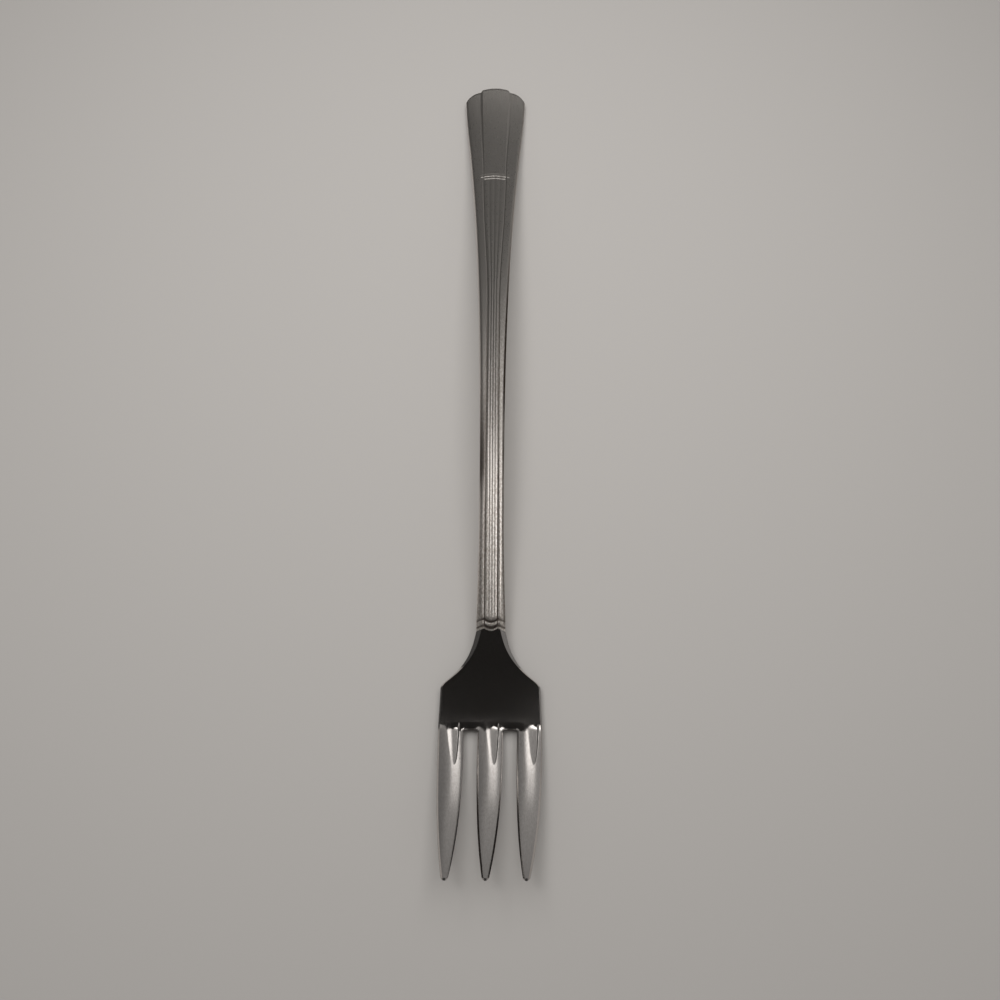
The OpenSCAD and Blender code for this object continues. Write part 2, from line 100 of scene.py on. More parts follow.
@dataclass(frozen=True)
class Blank:
    """The stamped blank: its plan, its side view and its section, as in the part's source."""

    tine_length: float = 20.5
    tine_width: float = 3.85
    point_width: float = 0.9
    tine_pitch: float = 6.05
    point_pitch: float = 5.75
    point_thickness: float = 0.9
    point_rise: float = 6.0
    point_lean: float = 0.45
    tine_crown: float = 0.12
    scoop_depth: float = 0.155
    scoop_width: float = 2.2
    scoop_start: float = 0.28
    scoop_end: float = 0.65
    scoop_length: float = 6.2
    shoulder_length: float = 7.0
    shoulder_width: float = 15.5
    flare_length: float = 8.4
    head_thickness: float = 1.6
    slot_end: float = 0.2
    shoulder_round: float = 0.9
    collar_width: float = 4.55
    collar_thickness: float = 2.5
    lip_length: float = 0.5
    bead_length: float = 1.0
    collar_sag: float = 0.38
    shank_length: float = 84.15
    waist_width: float = 3.9
    waist_distance: float = 14.8
    shank_thickness: float = 2.3
    arch_height: float = 7.0
    arch_distance: float = 54.0
    panel_width: float = 1.74
    groove_width: float = 0.3
    bars: int = 3
    bar_pitch: float = 0.65
    bar_width: float = 5.2
    bar_rise: float = 0.4
    fan_length: float = 22.5
    fan_width: float = 12.0
    fan_thickness: float = 1.8
    lobe_width: float = 5.1
    lobe_dome: float = 0.4
    lobe_step: float = 0.45
    side_drop: float = 2.8
    flute_width: float = 0.85
    panel_rise: float = 0.12
    heel_inset: float = 3.7
    fan_rest_inset: float = 4.6
    foot_depth: float = 0.03
    fan_corner_round: float = 0.8
    spread_length: float = 30.0
    shank_crown: float = 0.12
    fan_crown: float = 0.28
    shank_edge: tuple[float, float] = (0.55, 0.5)
    neck_edge: tuple[float, float] = (0.8, 0.55)
    head_edge: tuple[float, float] = (0.24, 0.2)
    fan_edge: tuple[float, float] = (0.5, 0.3)
    point_edge: tuple[float, float] = (0.3, 0.3)
    shank_back: tuple[float, float] = (0.8, 0.55)
    head_back: tuple[float, float] = (0.28, 0.22)
    head_edge_power: float = 1.0
    flare_line_share: float = 0.36
    side_arc_share: float = 0.97
    panel_limit_share: float = 0.48
    collar_side_share: float = 0.9
    bar_panel_share: float = 0.47
    waist_power: float = 1.6
    fan_power: float = 2.4
    tine_power: float = 1.6
    worn_place: float = 58.0
    worn_fade: float = 3.0
    worn_least_share: float = 0.35
    rubbed_distance: float = 11.0
    rubbed_share: float = 0.65
    wear_distance: float = 20.0
    wear_slant: float = 4.0
    lean_power: float = 1.8
    scoop_lead: float = 1.4
    crown_lead: float = 1.4
    scoop_fade: float = 1.1
    scoop_power: float = 0.5
    scoop_floor_power: float = 1.5
    scoop_wall_share: float = 0.1
    scoop_least: float = 0.001
    ridge_shift: float = 0.32
    ridge_power: float = 1.8

    @property
    def root(self) -> float:
        """Where the tines leave the head."""
        return self.tine_length

    @property
    def slot_half(self) -> float:
        """Half of the gap between two tines where they leave the head."""
        return self.tine_pitch / 2.0 - self.tine_width / 2.0

    @property
    def heel(self) -> float:
        """Where the head's back lies on the table."""
        return self.root + self.heel_inset

    @property
    def shoulder(self) -> float:
        """Where the head is widest before it flares in."""
        return self.root + self.shoulder_length

    @property
    def collar_start(self) -> float:
        """Where the head ends and the collar's lip starts."""
        return self.shoulder + self.flare_length

    @property
    def cut_line(self) -> float:
        """The collar's first cut line."""
        return self.collar_start + self.lip_length

    @property
    def collar_end(self) -> float:
        """The collar's second cut line, where the shank starts."""
        return self.cut_line + self.bead_length

    @property
    def waist(self) -> float:
        """The narrowest place of the shank."""
        return self.collar_end + self.waist_distance

    @property
    def arch(self) -> float:
        """The top of the shank's arch."""
        return self.heel + self.arch_distance

    @property
    def bars_start(self) -> float:
        """Where the band of cross bars starts."""
        return self.collar_end + self.shank_length

    @property
    def bars_end(self) -> float:
        """Where the band of cross bars ends and the fan starts."""
        return self.bars_start + self.bars * self.bar_pitch

    @property
    def fan_end(self) -> float:
        """The end of the fan, which is the fork's whole length."""
        return self.bars_end + self.fan_length

    @property
    def fan_corner(self) -> float:
        """The corners at the sides of the fan's end."""
        return self.fan_end - self.lobe_dome - self.lobe_step - self.side_drop

    @property
    def fan_rest(self) -> float:
        """Where the fan's back lies on the table."""
        return self.fan_end - self.fan_rest_inset

    def back_height(self, s: Array) -> Array:
        """Height of the middle of the back above the table."""
        rise = self.point_rise + self.foot_depth
        top = self.arch_height + self.foot_depth
        tines = rise * (np.maximum(0.0, self.heel - s) / self.heel) ** self.tine_power
        up = clamp((s - self.heel) / self.arch_distance)
        spring = top * (1.0 - (1.0 - up) ** 3 * (1.0 + 3.0 * up))
        down = np.maximum(0.0, (s - self.arch) / (self.fan_rest - self.arch))
        settle = top * (1.0 - down**2) ** 2
        return tines + np.where(s < self.arch, spring, settle) - self.foot_depth

    def hollow(self, across: Array, s: Array) -> Array:
        """Depth of a tine's crown and scoop, by the distance to the tine's middle."""
        fade = 1.0 - smooth(clamp((s - self.root) / self.crown_lead))
        apart = np.sin(math.pi * clamp(s / self.root) ** self.ridge_power) ** 2
        ridge = np.abs(across - self.ridge_shift * apart)
        crown = self.tine_crown * (2.0 * ridge / self.tine_width) ** 2
        down = self.root + self.scoop_lead - s
        left = 1.0 - clamp(down / self.scoop_length)
        size = left**self.scoop_power
        middle = mix(self.scoop_end, self.scoop_start, left)
        share = 0.5 + (across - middle) / (self.scoop_width * size + self.scoop_least)
        floor_end = 1.0 - self.scoop_wall_share
        slope = clamp(share / floor_end) ** self.scoop_floor_power
        wall = smooth(clamp((1.0 - share) / self.scoop_wall_share))
        deep = self.scoop_depth * size * smooth(clamp(down / self.scoop_fade))
        return crown * fade + deep * slope * wall

    def thickness(self, s: Array) -> Array:
        """Thickness of the metal in the middle of its width."""
        return along([
            (0.0, self.point_thickness), (self.root, self.head_thickness),
            (self.shoulder, self.head_thickness), (self.collar_start, self.collar_thickness),
            (self.collar_end, self.collar_thickness), (self.waist, self.shank_thickness),
            (self.arch, self.shank_thickness), (self.bars_end, self.fan_thickness),
        ], s)

    def half_width(self, s: Array) -> Array:
        """Half of the fork's width from the slots to the corners of the fan."""
        collar_half = self.collar_width / 2.0
        shoulder_half = self.shoulder_width / 2.0
        root_half = self.tine_pitch + self.tine_width / 2.0
        t = np.maximum(0.0, self.collar_start - s) / self.flare_length
        flare = self.flare_line_share * t + (1.0 - self.flare_line_share) * t**3
        side = mix(root_half, shoulder_half, (s - self.root) / self.shoulder_length)
        neck = mix(collar_half, shoulder_half, flare)
        head = soft_min(side, neck, self.shoulder_round)
        waist_half = self.waist_width / 2.0
        fan_half = self.fan_width / 2.0
        taper = clamp((self.waist - s) / self.waist_distance) ** self.waist_power
        spread = np.maximum(0.0, s - self.waist) / (self.fan_corner - self.waist)
        wide = mix(waist_half, fan_half + self.fan_corner_round / 4.0, spread**self.fan_power)
        handle = np.where(s < self.waist, mix(waist_half, collar_half, taper),
                          soft_min(np.full_like(s, fan_half), wide, self.fan_corner_round))
        return np.where(s < self.collar_start, head,
                        np.where(s < self.collar_end, collar_half, handle))

    def panel_half(self, s: Array) -> Array:
        """Half of the width of the handle's middle panel."""
        bar_half = float(self.half_width(np.array([self.bars_start]))[0])
        table = [(self.bars_start - self.spread_length, self.panel_width / 2.0),
                 (self.bars_start, self.bar_panel_share * bar_half),
                 (self.fan_corner, self.lobe_width / 2.0)]
        return np.minimum(self.panel_limit_share * self.half_width(s), along(table, s))

    def groove_across(self, s: Array) -> Array:
        """Width of the groove or flute beside the middle panel."""
        return along([(self.bars_end, self.groove_width), (self.fan_corner, self.flute_width)], s)

    def face_edge(self, s: Array, index: int) -> Array:
        """One measure of the face's long edges: 0 for the round's reach and 1 for its drop."""
        return along([
            (0.0, self.point_edge[index]), (self.root, self.head_edge[index]),
            (self.shoulder, self.head_edge[index]), (self.collar_start, self.neck_edge[index]),
            (self.waist, self.shank_edge[index]), (self.bars_end, self.shank_edge[index]),
            (self.fan_corner, self.fan_edge[index]),
        ], s)

    def back_edge(self, s: Array, index: int) -> Array:
        """The same two measures of the back's long edges."""
        return along([
            (0.0, self.point_edge[index]), (self.root, self.head_back[index]),
            (self.shoulder, self.head_back[index]), (self.collar_start, self.shank_back[index]),
            (self.bars_end, self.shank_back[index]), (self.fan_corner, self.fan_edge[index]),
        ], s)

    def face_round(self, s: Array, distance: Array) -> Array:
        """What the face's edge round takes off."""
        power = along([(self.collar_start, self.head_edge_power), (self.waist, 2.0)], s)
        return rounded(self.face_edge(s, 0), self.face_edge(s, 1), power, distance)

    def back_round(self, s: Array, distance: Array) -> Array:
        """How much the back's edge round lifts the back."""
        return rounded(self.back_edge(s, 0), self.back_edge(s, 1), 2.0, distance)

    def wear(self, x: Array, s: Array) -> Array:
        """How worn the steel is. The worn stretch ends on a slant, with a rubbed patch past it."""
        return along([(self.waist, 1.0), (self.worn_place - self.worn_fade, 1.0),
                      (self.worn_place + self.worn_fade, self.worn_least_share),
                      (self.worn_place + self.rubbed_distance, self.rubbed_share),
                      (self.arch + self.wear_distance, 0.0)], s - self.wear_slant * x)

    def crown(self, s: Array) -> Array:
        """Height of the middle of the face above its sides."""
        return along([(self.shoulder, 0.0), (self.collar_start, self.shank_crown),
                      (self.bars_end, self.shank_crown), (self.fan_corner, self.fan_crown)], s)

    def collar_line(self, x: Array) -> Array:
        """How far the scalloped cut lines lie from their station, across the collar."""
        end = np.array([self.collar_end])
        gap = float((self.panel_half(end) + self.groove_across(end) / 2.0)[0])
        q = np.abs(x)
        side = clamp((q - gap) / (self.collar_width / 2.0 - gap))
        return np.where(q < gap, -self.collar_sag * (1.0 - (q / gap) ** 2),
                        -self.collar_sag * self.collar_side_share * side)

    def bar_line(self, x: Array) -> Array:
        """How far the bowed bars lie from their station, across the handle."""
        return self.bar_rise * np.maximum(0.0, 1.0 - (2.0 * x / self.bar_width) ** 2)

    def end_line(self, x: Array) -> Array:
        """Outline of the fan's end: a middle lobe, a step, and a side lobe on either hand."""
        q = np.abs(x)
        lobe = self.lobe_width / 2.0
        beyond = np.maximum(0.0, q - lobe)
        share = clamp(beyond / (self.fan_width / 2.0 - lobe))
        arc = 1.0 - np.sqrt(1.0 - (self.side_arc_share * share) ** 2)
        full = 1.0 - math.sqrt(1.0 - self.side_arc_share**2)
        return (self.fan_end - self.lobe_dome * clamp(q / lobe) ** 2
                - self.lobe_step * smooth(clamp(2.0 * beyond / self.flute_width))
                - self.side_drop * arc / full)


@dataclass
class Points:
    """A grid of places on one region of the blank, rows along the fork and columns across."""

    x: Array
    s: Array
    station: Array
    distance: Array
    base_relief: Array


def bevelled(half: Array, reach: Array, inner: Array, steps: int) -> Array:
    """Lays columns across a width, with steps of their own on the bevel at either side.

    Args:
        half: Half of the width, by row.
        reach: How far the bevel reaches in from the side, by row.
        inner: Columns between the bevels, by row, from -1 to 1 at the bevels' inner ends.
        steps: Steps across each bevel.

    Returns:
        Places across the width, by row and column.
    """
    turn = 0.5 - 0.5 * np.cos(np.linspace(0.0, math.pi, steps + 1)[:-1])
    half = half[:, None]
    reach = reach[:, None]
    left = -half + reach * turn
    return np.concatenate([left, (half - reach) * inner, -left[:, ::-1]], axis=1)


def closed_mesh(name: str, face: Array, back: Array, free_ends: tuple[bool, bool],
                bends: list[Array]) -> bpy.types.Mesh:
    """Joins two grids of points into one closed mesh with quads all round.

    Args:
        name: Name of the mesh.
        face: Points of the face in metres, by row and column.
        back: Points of the back, as many.
        free_ends: Whether the first and the last row are ends of the fork itself.
        bends: Lines of face points, by number, where the face bends sharply. A face with
            such bends has a sharp outline too.

    Returns:
        The mesh, smooth but for the rims of end walls that meet a neighbour and crisp outlines.
    """
    rows, across = face.shape[:2]
    index = np.arange(2 * rows * across).reshape(2, rows, across)
    top, low = index

    def quads(a: Array, b: Array, c: Array, d: Array) -> Array:
        """Stacks four grids of corners as a list of quads."""
        return np.stack([a, b, c, d], axis=-1).reshape(-1, 4)

    faces = np.concatenate([
        quads(top[:-1, :-1], top[:-1, 1:], top[1:, 1:], top[1:, :-1]),
        quads(low[:-1, :-1], low[1:, :-1], low[1:, 1:], low[:-1, 1:]),
        quads(top[:-1, 0], top[1:, 0], low[1:, 0], low[:-1, 0]),
        quads(top[:-1, -1], low[:-1, -1], low[1:, -1], top[1:, -1]),
        quads(top[0, :-1], low[0, :-1], low[0, 1:], top[0, 1:]),
        quads(top[-1, :-1], top[-1, 1:], low[-1, 1:], low[-1, :-1]),
    ])
    mesh = bpy.data.meshes.new(name)
    points = np.concatenate([face.reshape(-1, 3), back.reshape(-1, 3)])
    mesh.from_pydata(points.tolist(), [], faces.tolist())
    mesh.shade_smooth()
    pairs = np.zeros(2 * len(mesh.edges), dtype=np.int32)
    mesh.edges.foreach_get("vertices", pairs)
    on_rim = np.zeros(len(mesh.edges), dtype=bool)
    rims = [np.concatenate([top[row], low[row]])
            for row, free in ((0, free_ends[0]), (-1, free_ends[1])) if bends or not free]
    if bends:
        rims += bends + [grid[:, column] for grid in (top, low) for column in (0, -1)]
    for rim in rims:
        on_rim |= np.isin(pairs.reshape(-1, 2), rim).all(axis=1)
    sharp = mesh.attributes.new("sharp_edge", "BOOLEAN", "EDGE")
    sharp.data.foreach_set("value", on_rim)
    return mesh


class NodeWriter:
    """Writes a node tree with less repetition: adds nodes, sets inputs and links sockets."""

    def __init__(self, tree: bpy.types.NodeTree) -> None:
        """Keeps the tree to write in."""
        self.tree = tree

    def add(self, kind: str, **inputs: object) -> bpy.types.Node:
        """Adds a node.

        Args:
            kind: The node's type name.
            **inputs: Values or sockets for its inputs, with an underscore for each space.

        Returns:
            The new node.
        """
        node = self.tree.nodes.new(kind)
        for name, value in inputs.items():
            self.put(node.inputs[name.replace("_", " ")], value)
        return node

    def put(self, socket: bpy.types.NodeSocket, value: object) -> None:
        """Links a socket, or sets its value."""
        if isinstance(value, bpy.types.NodeSocket):
            self.tree.links.new(value, socket)
        else:
            socket.default_value = value

    def math(self, operation: str, *values: object, held: bool = False) -> bpy.types.NodeSocket:
        """Adds one step of arithmetic and gives its result, held between 0 and 1 if asked."""
        node = self.tree.nodes.new("ShaderNodeMath")
        node.operation = operation
        node.use_clamp = held
        for socket, value in zip(node.inputs, values):
            self.put(socket, value)
        return node.outputs[0]

    def attribute(self, name: object) -> bpy.types.NodeSocket:
        """Reads a number that the mesh carries at each point."""
        node = self.tree.nodes.new("GeometryNodeInputNamedAttribute")
        node.data_type = "FLOAT"
        self.put(node.inputs["Name"], name)
        return next(out for out in node.outputs if out.enabled and out.name == "Attribute")

    def ramp(self, value: object, low: float = 0.0, high: float = 1.0) -> bpy.types.NodeSocket:
        """Rises smoothly from 0 at the low value to 1 at the high one."""
        node = self.add("ShaderNodeMapRange", Value=value, From_Min=low, From_Max=high)
        node.interpolation_type = "SMOOTHSTEP"
        return node.outputs["Result"]

    def rest(self, share: object) -> bpy.types.NodeSocket:
        """What a share leaves of the whole."""
        return self.math("SUBTRACT", 1.0, share)

    def product(self, *shares: object) -> bpy.types.NodeSocket:
        """Multiplies two or more values."""
        result = shares[0]
        for share in shares[1:]:
            result = self.math("MULTIPLY", result, share)
        return result

    def blend(self, share: object, low: object, high: object) -> bpy.types.NodeSocket:
        """Blends from the low number to the high one by a share."""
        node = self.add("ShaderNodeMix")
        for place, value in enumerate((share, low, high)):
            self.put(node.inputs[(0, 2, 3)[place]], value)
        return node.outputs[0]

    def blend_colours(self, share: object, low: object, high: object) -> bpy.types.NodeSocket:
        """Blends from one colour to another by a share."""
        node = self.tree.nodes.new("ShaderNodeMix")
        node.data_type = "RGBA"
        self.put(node.inputs[0], share)
        for place, colour in ((6, low), (7, high)):
            self.put(node.inputs[place], (*colour, 1.0) if isinstance(colour, tuple) else colour)
        return node.outputs[2]

    def shared(self, tree: bpy.types.NodeTree, **inputs: object) -> bpy.types.Node:
        """Adds a shared effect, with its named inputs."""
        node = self.tree.nodes.new("ShaderNodeGroup")
        node.node_tree = tree
        for name, value in inputs.items():
            self.put(node.inputs[name.replace("_", " ")], value)
        return node


class Press:
    """The dies that press the handle's pattern into a blank, as Geometry Nodes trees."""

    groove_power = 1.5
    valley_dirt_share = 0.4

    def __init__(self) -> None:
        """Builds both trees once."""
        self.reeding = self._reeding()
        self.lines = self._lines()

    @staticmethod
    def _tree(name: str, inputs: list[tuple[str, str, object]]) -> NodeWriter:
        """Makes an empty tree with a geometry input and output and named sizes."""
        tree = bpy.data.node_groups.new(name, "GeometryNodeTree")
        tree.interface.new_socket("Geometry", in_out="INPUT", socket_type="NodeSocketGeometry")
        for label, kind, default in inputs:
            socket = tree.interface.new_socket(label, in_out="INPUT", socket_type=kind)
            if default is not None:
                socket.default_value = default
        tree.interface.new_socket("Geometry", in_out="OUTPUT", socket_type="NodeSocketGeometry")
        return NodeWriter(tree)

    @staticmethod
    def _finish(writer: NodeWriter, source: bpy.types.Node, lift: object, recess: object) -> None:
        """Moves the points up by the lift, keeps their mask of grime and painted shade, and sets
        the metal.
        """
        offset = writer.add("ShaderNodeCombineXYZ", Z=lift)
        moved = writer.add("GeometryNodeSetPosition", Geometry=source.outputs["Geometry"],
                           Offset=offset.outputs[0])
        stored = writer.tree.nodes.new("GeometryNodeStoreNamedAttribute")
        stored.data_type = "FLOAT"
        stored.domain = "POINT"
        writer.put(stored.inputs["Geometry"], moved.outputs[0])
        writer.put(stored.inputs["Name"], "recess")
        value = next(s for s in stored.inputs if s.enabled and s.name == "Value")
        writer.put(value, recess)
        real = writer.add("GeometryNodeRealizeInstances", Geometry=stored.outputs[0])
        metal = writer.add("GeometryNodeSetMaterial", Geometry=real.outputs[0],
                           Material=source.outputs["Metal"])
        out = writer.add("NodeGroupOutput")
        writer.put(out.inputs[0], metal.outputs[0])

    def _reeding(self) -> bpy.types.NodeTree:
        """Builds the tree for reeds on the middle panel, a groove beside it and edge ribs."""
        writer = self._tree("Reeding", [
            ("Reeds", "NodeSocketInt", 4),
            ("Reed Height", "NodeSocketFloat", 0.0),
            ("Groove Depth", "NodeSocketFloat", 0.0),
            ("Rib Height", "NodeSocketFloat", 0.0),
            ("Metal", "NodeSocketMaterial", None),
        ])
        source = writer.add("NodeGroupInput")
        sizes = source.outputs
        turn = writer.math("ADD", writer.attribute("panel"), 1.0)
        turn = writer.math("MULTIPLY", turn, sizes["Reeds"])
        wave = writer.math("ABSOLUTE", writer.math("SINE", writer.math(
            "MULTIPLY", turn, math.pi / 2.0)))
        valley = writer.math("MULTIPLY", writer.attribute("reed_fade"),
                             writer.math("SUBTRACT", 1.0, wave))
        fade = writer.attribute("cut_fade")
        cut = writer.math("SINE", writer.math("MULTIPLY", writer.attribute("groove"), math.pi))
        cut = writer.math("MULTIPLY", writer.math("POWER", cut, self.groove_power), fade)
        rib = writer.math("SINE", writer.math("MULTIPLY", writer.attribute("rib"), math.pi))
        rib = writer.math("MULTIPLY", rib, fade)
        lift = writer.math("MULTIPLY", rib, sizes["Rib Height"])
        lift = writer.math("SUBTRACT", lift, writer.math("MULTIPLY", cut, sizes["Groove Depth"]))
        lift = writer.math("SUBTRACT", lift, writer.math("MULTIPLY", valley, sizes["Reed Height"]))
        deep = writer.math("MAXIMUM", cut, writer.math(
            "MULTIPLY", valley, self.valley_dirt_share))
        self._finish(writer, source, lift, writer.math(
            "MAXIMUM", writer.attribute("recess"), deep))
        return writer.tree

    def _lines(self) -> bpy.types.NodeTree:
        """Builds the tree for equal lines across the handle, raised or cut."""
        writer = self._tree("Lines across", [
            ("Count", "NodeSocketInt", 2),
            ("Pitch", "NodeSocketFloat", 0.001),
            ("Half Width", "NodeSocketFloat", 0.0001),
            ("Height", "NodeSocketFloat", 0.0),
            ("Place", "NodeSocketString", "line_place"),
            ("Strength", "NodeSocketString", "line_strength"),
            ("Metal", "NodeSocketMaterial", None),
        ])
        source = writer.add("NodeGroupInput")
        sizes = source.outputs
        place = writer.attribute(sizes["Place"])
        last = writer.math("SUBTRACT", sizes["Count"], 1.0)
        nearest = writer.math("ROUND", writer.math("DIVIDE", place, sizes["Pitch"]))
        nearest = writer.math("MINIMUM", writer.math("MAXIMUM", nearest, 0.0), last)
        gap = writer.math("ABSOLUTE", writer.math(
            "SUBTRACT", place, writer.math("MULTIPLY", nearest, sizes["Pitch"])))
        near = writer.ramp(writer.math(
            "SUBTRACT", 1.0, writer.math("DIVIDE", gap, sizes["Half Width"]), held=True))
        line = writer.math("MULTIPLY", near, writer.attribute(sizes["Strength"]))
        lift = writer.math("MULTIPLY", line, sizes["Height"])
        is_cut = writer.math("LESS_THAN", sizes["Height"], 0.0)
        recess = writer.math("MAXIMUM", writer.attribute("recess"),
                             writer.math("MULTIPLY", line, is_cut))
        self._finish(writer, source, lift, recess)
        return writer.tree

    @staticmethod
    def apply(piece: bpy.types.Object, tree: bpy.types.NodeTree, **sizes: object) -> None:
        """Runs one tree on a piece and keeps the result as its plain mesh.

        Args:
            piece: The piece to press.
            tree: One of the press's trees.
            **sizes: Values for the tree's named inputs, with an underscore for each space.
        """
        modifier = piece.modifiers.new(tree.name, "NODES")
        modifier.node_group = tree
        for item in tree.interface.items_tree:
            if item.in_out == "INPUT" and item.name.replace(" ", "_") in sizes:
                modifier[item.identifier] = sizes[item.name.replace(" ", "_")]
        depsgraph = bpy.context.evaluated_depsgraph_get()
        pressed = bpy.data.meshes.new_from_object(
            piece.evaluated_get(depsgraph), preserve_all_data_layers=True, depsgraph=depsgraph)
        old = piece.data
        piece.modifiers.remove(modifier)
        piece.data = pressed
        bpy.data.meshes.remove(old)


@dataclass
class Region:
    """One named region of the stamping, which replaces the node of the same name."""

    node: str
    slot: str
    metal: bpy.types.Material
    blank: Blank = field(default_factory=Blank)
    free_ends: tuple[bool, bool] = (False, False)
    sheared_width: float = 0.01

    def points(self) -> Points:
        """The grid of places of this region."""
        raise NotImplementedError

    def bends(self, index: Array) -> list[Array]:
        """Lines of face points where the face bends sharply, which a rounded region lacks."""
        return []

    def shape(self) -> bpy.types.Object:
        """Makes the region's closed mesh and its object, before anything is pressed in."""
        grid = self.points()
        blank = self.blank
        floor = blank.back_height(grid.s)
        face_z = (floor + blank.thickness(grid.s) + grid.base_relief
                  - blank.crown(grid.station) * (grid.x / blank.half_width(grid.station)) ** 2
                  - blank.face_round(grid.station, grid.distance))
        back_z = np.maximum(0.0, floor + blank.back_round(grid.station, grid.distance))
        y = grid.s - blank.fan_end / 2.0
        face = np.stack([grid.x, y, face_z], axis=-1) * MM
        back = np.stack([grid.x, y, back_z], axis=-1) * MM
        bends = self.bends(np.arange(grid.x.size).reshape(grid.x.shape))
        mesh = closed_mesh(self.node, face, back, self.free_ends, bends)
        piece = bpy.data.objects.new(self.node + "_metal", mesh)
        bpy.context.scene.collection.objects.link(piece)
        worn = blank.wear(grid.x, grid.s)
        self.keep(piece, "wear", worn, worn)
        return piece

    @staticmethod
    def keep(piece: bpy.types.Object, name: str, face: Array,
             back: Optional[Array] = None) -> None:
        """Stores a number at each point of the face and of the back, or zero on the back."""
        behind = np.zeros(face.size) if back is None else back.ravel()
        data = np.concatenate([face.ravel(), behind])
        attribute = piece.data.attributes.new(name, "FLOAT", "POINT")
        attribute.data.foreach_set("value", data)

    def make(self, press: Press) -> bpy.types.Object:
        """Shapes, presses and dresses the region, and puts it in its node's place."""
        piece = self.shape()
        self.stamp(piece, press)
        piece.data.materials.clear()
        piece.data.materials.append(self.metal)
        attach(piece, "root")
        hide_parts(self.node)
        log.info("%s: %d faces", piece.name, len(piece.data.polygons))
        return piece

    def stamp(self, piece: bpy.types.Object, press: Press) -> None:
        """Presses the region's pattern. A plain region only darkens the thin strip along its
        outline.
        """
        darkened_outline = np.where(self.points().distance < self.sheared_width, 1.0, 0.0)
        self.keep(piece, "recess", darkened_outline, darkened_outline)


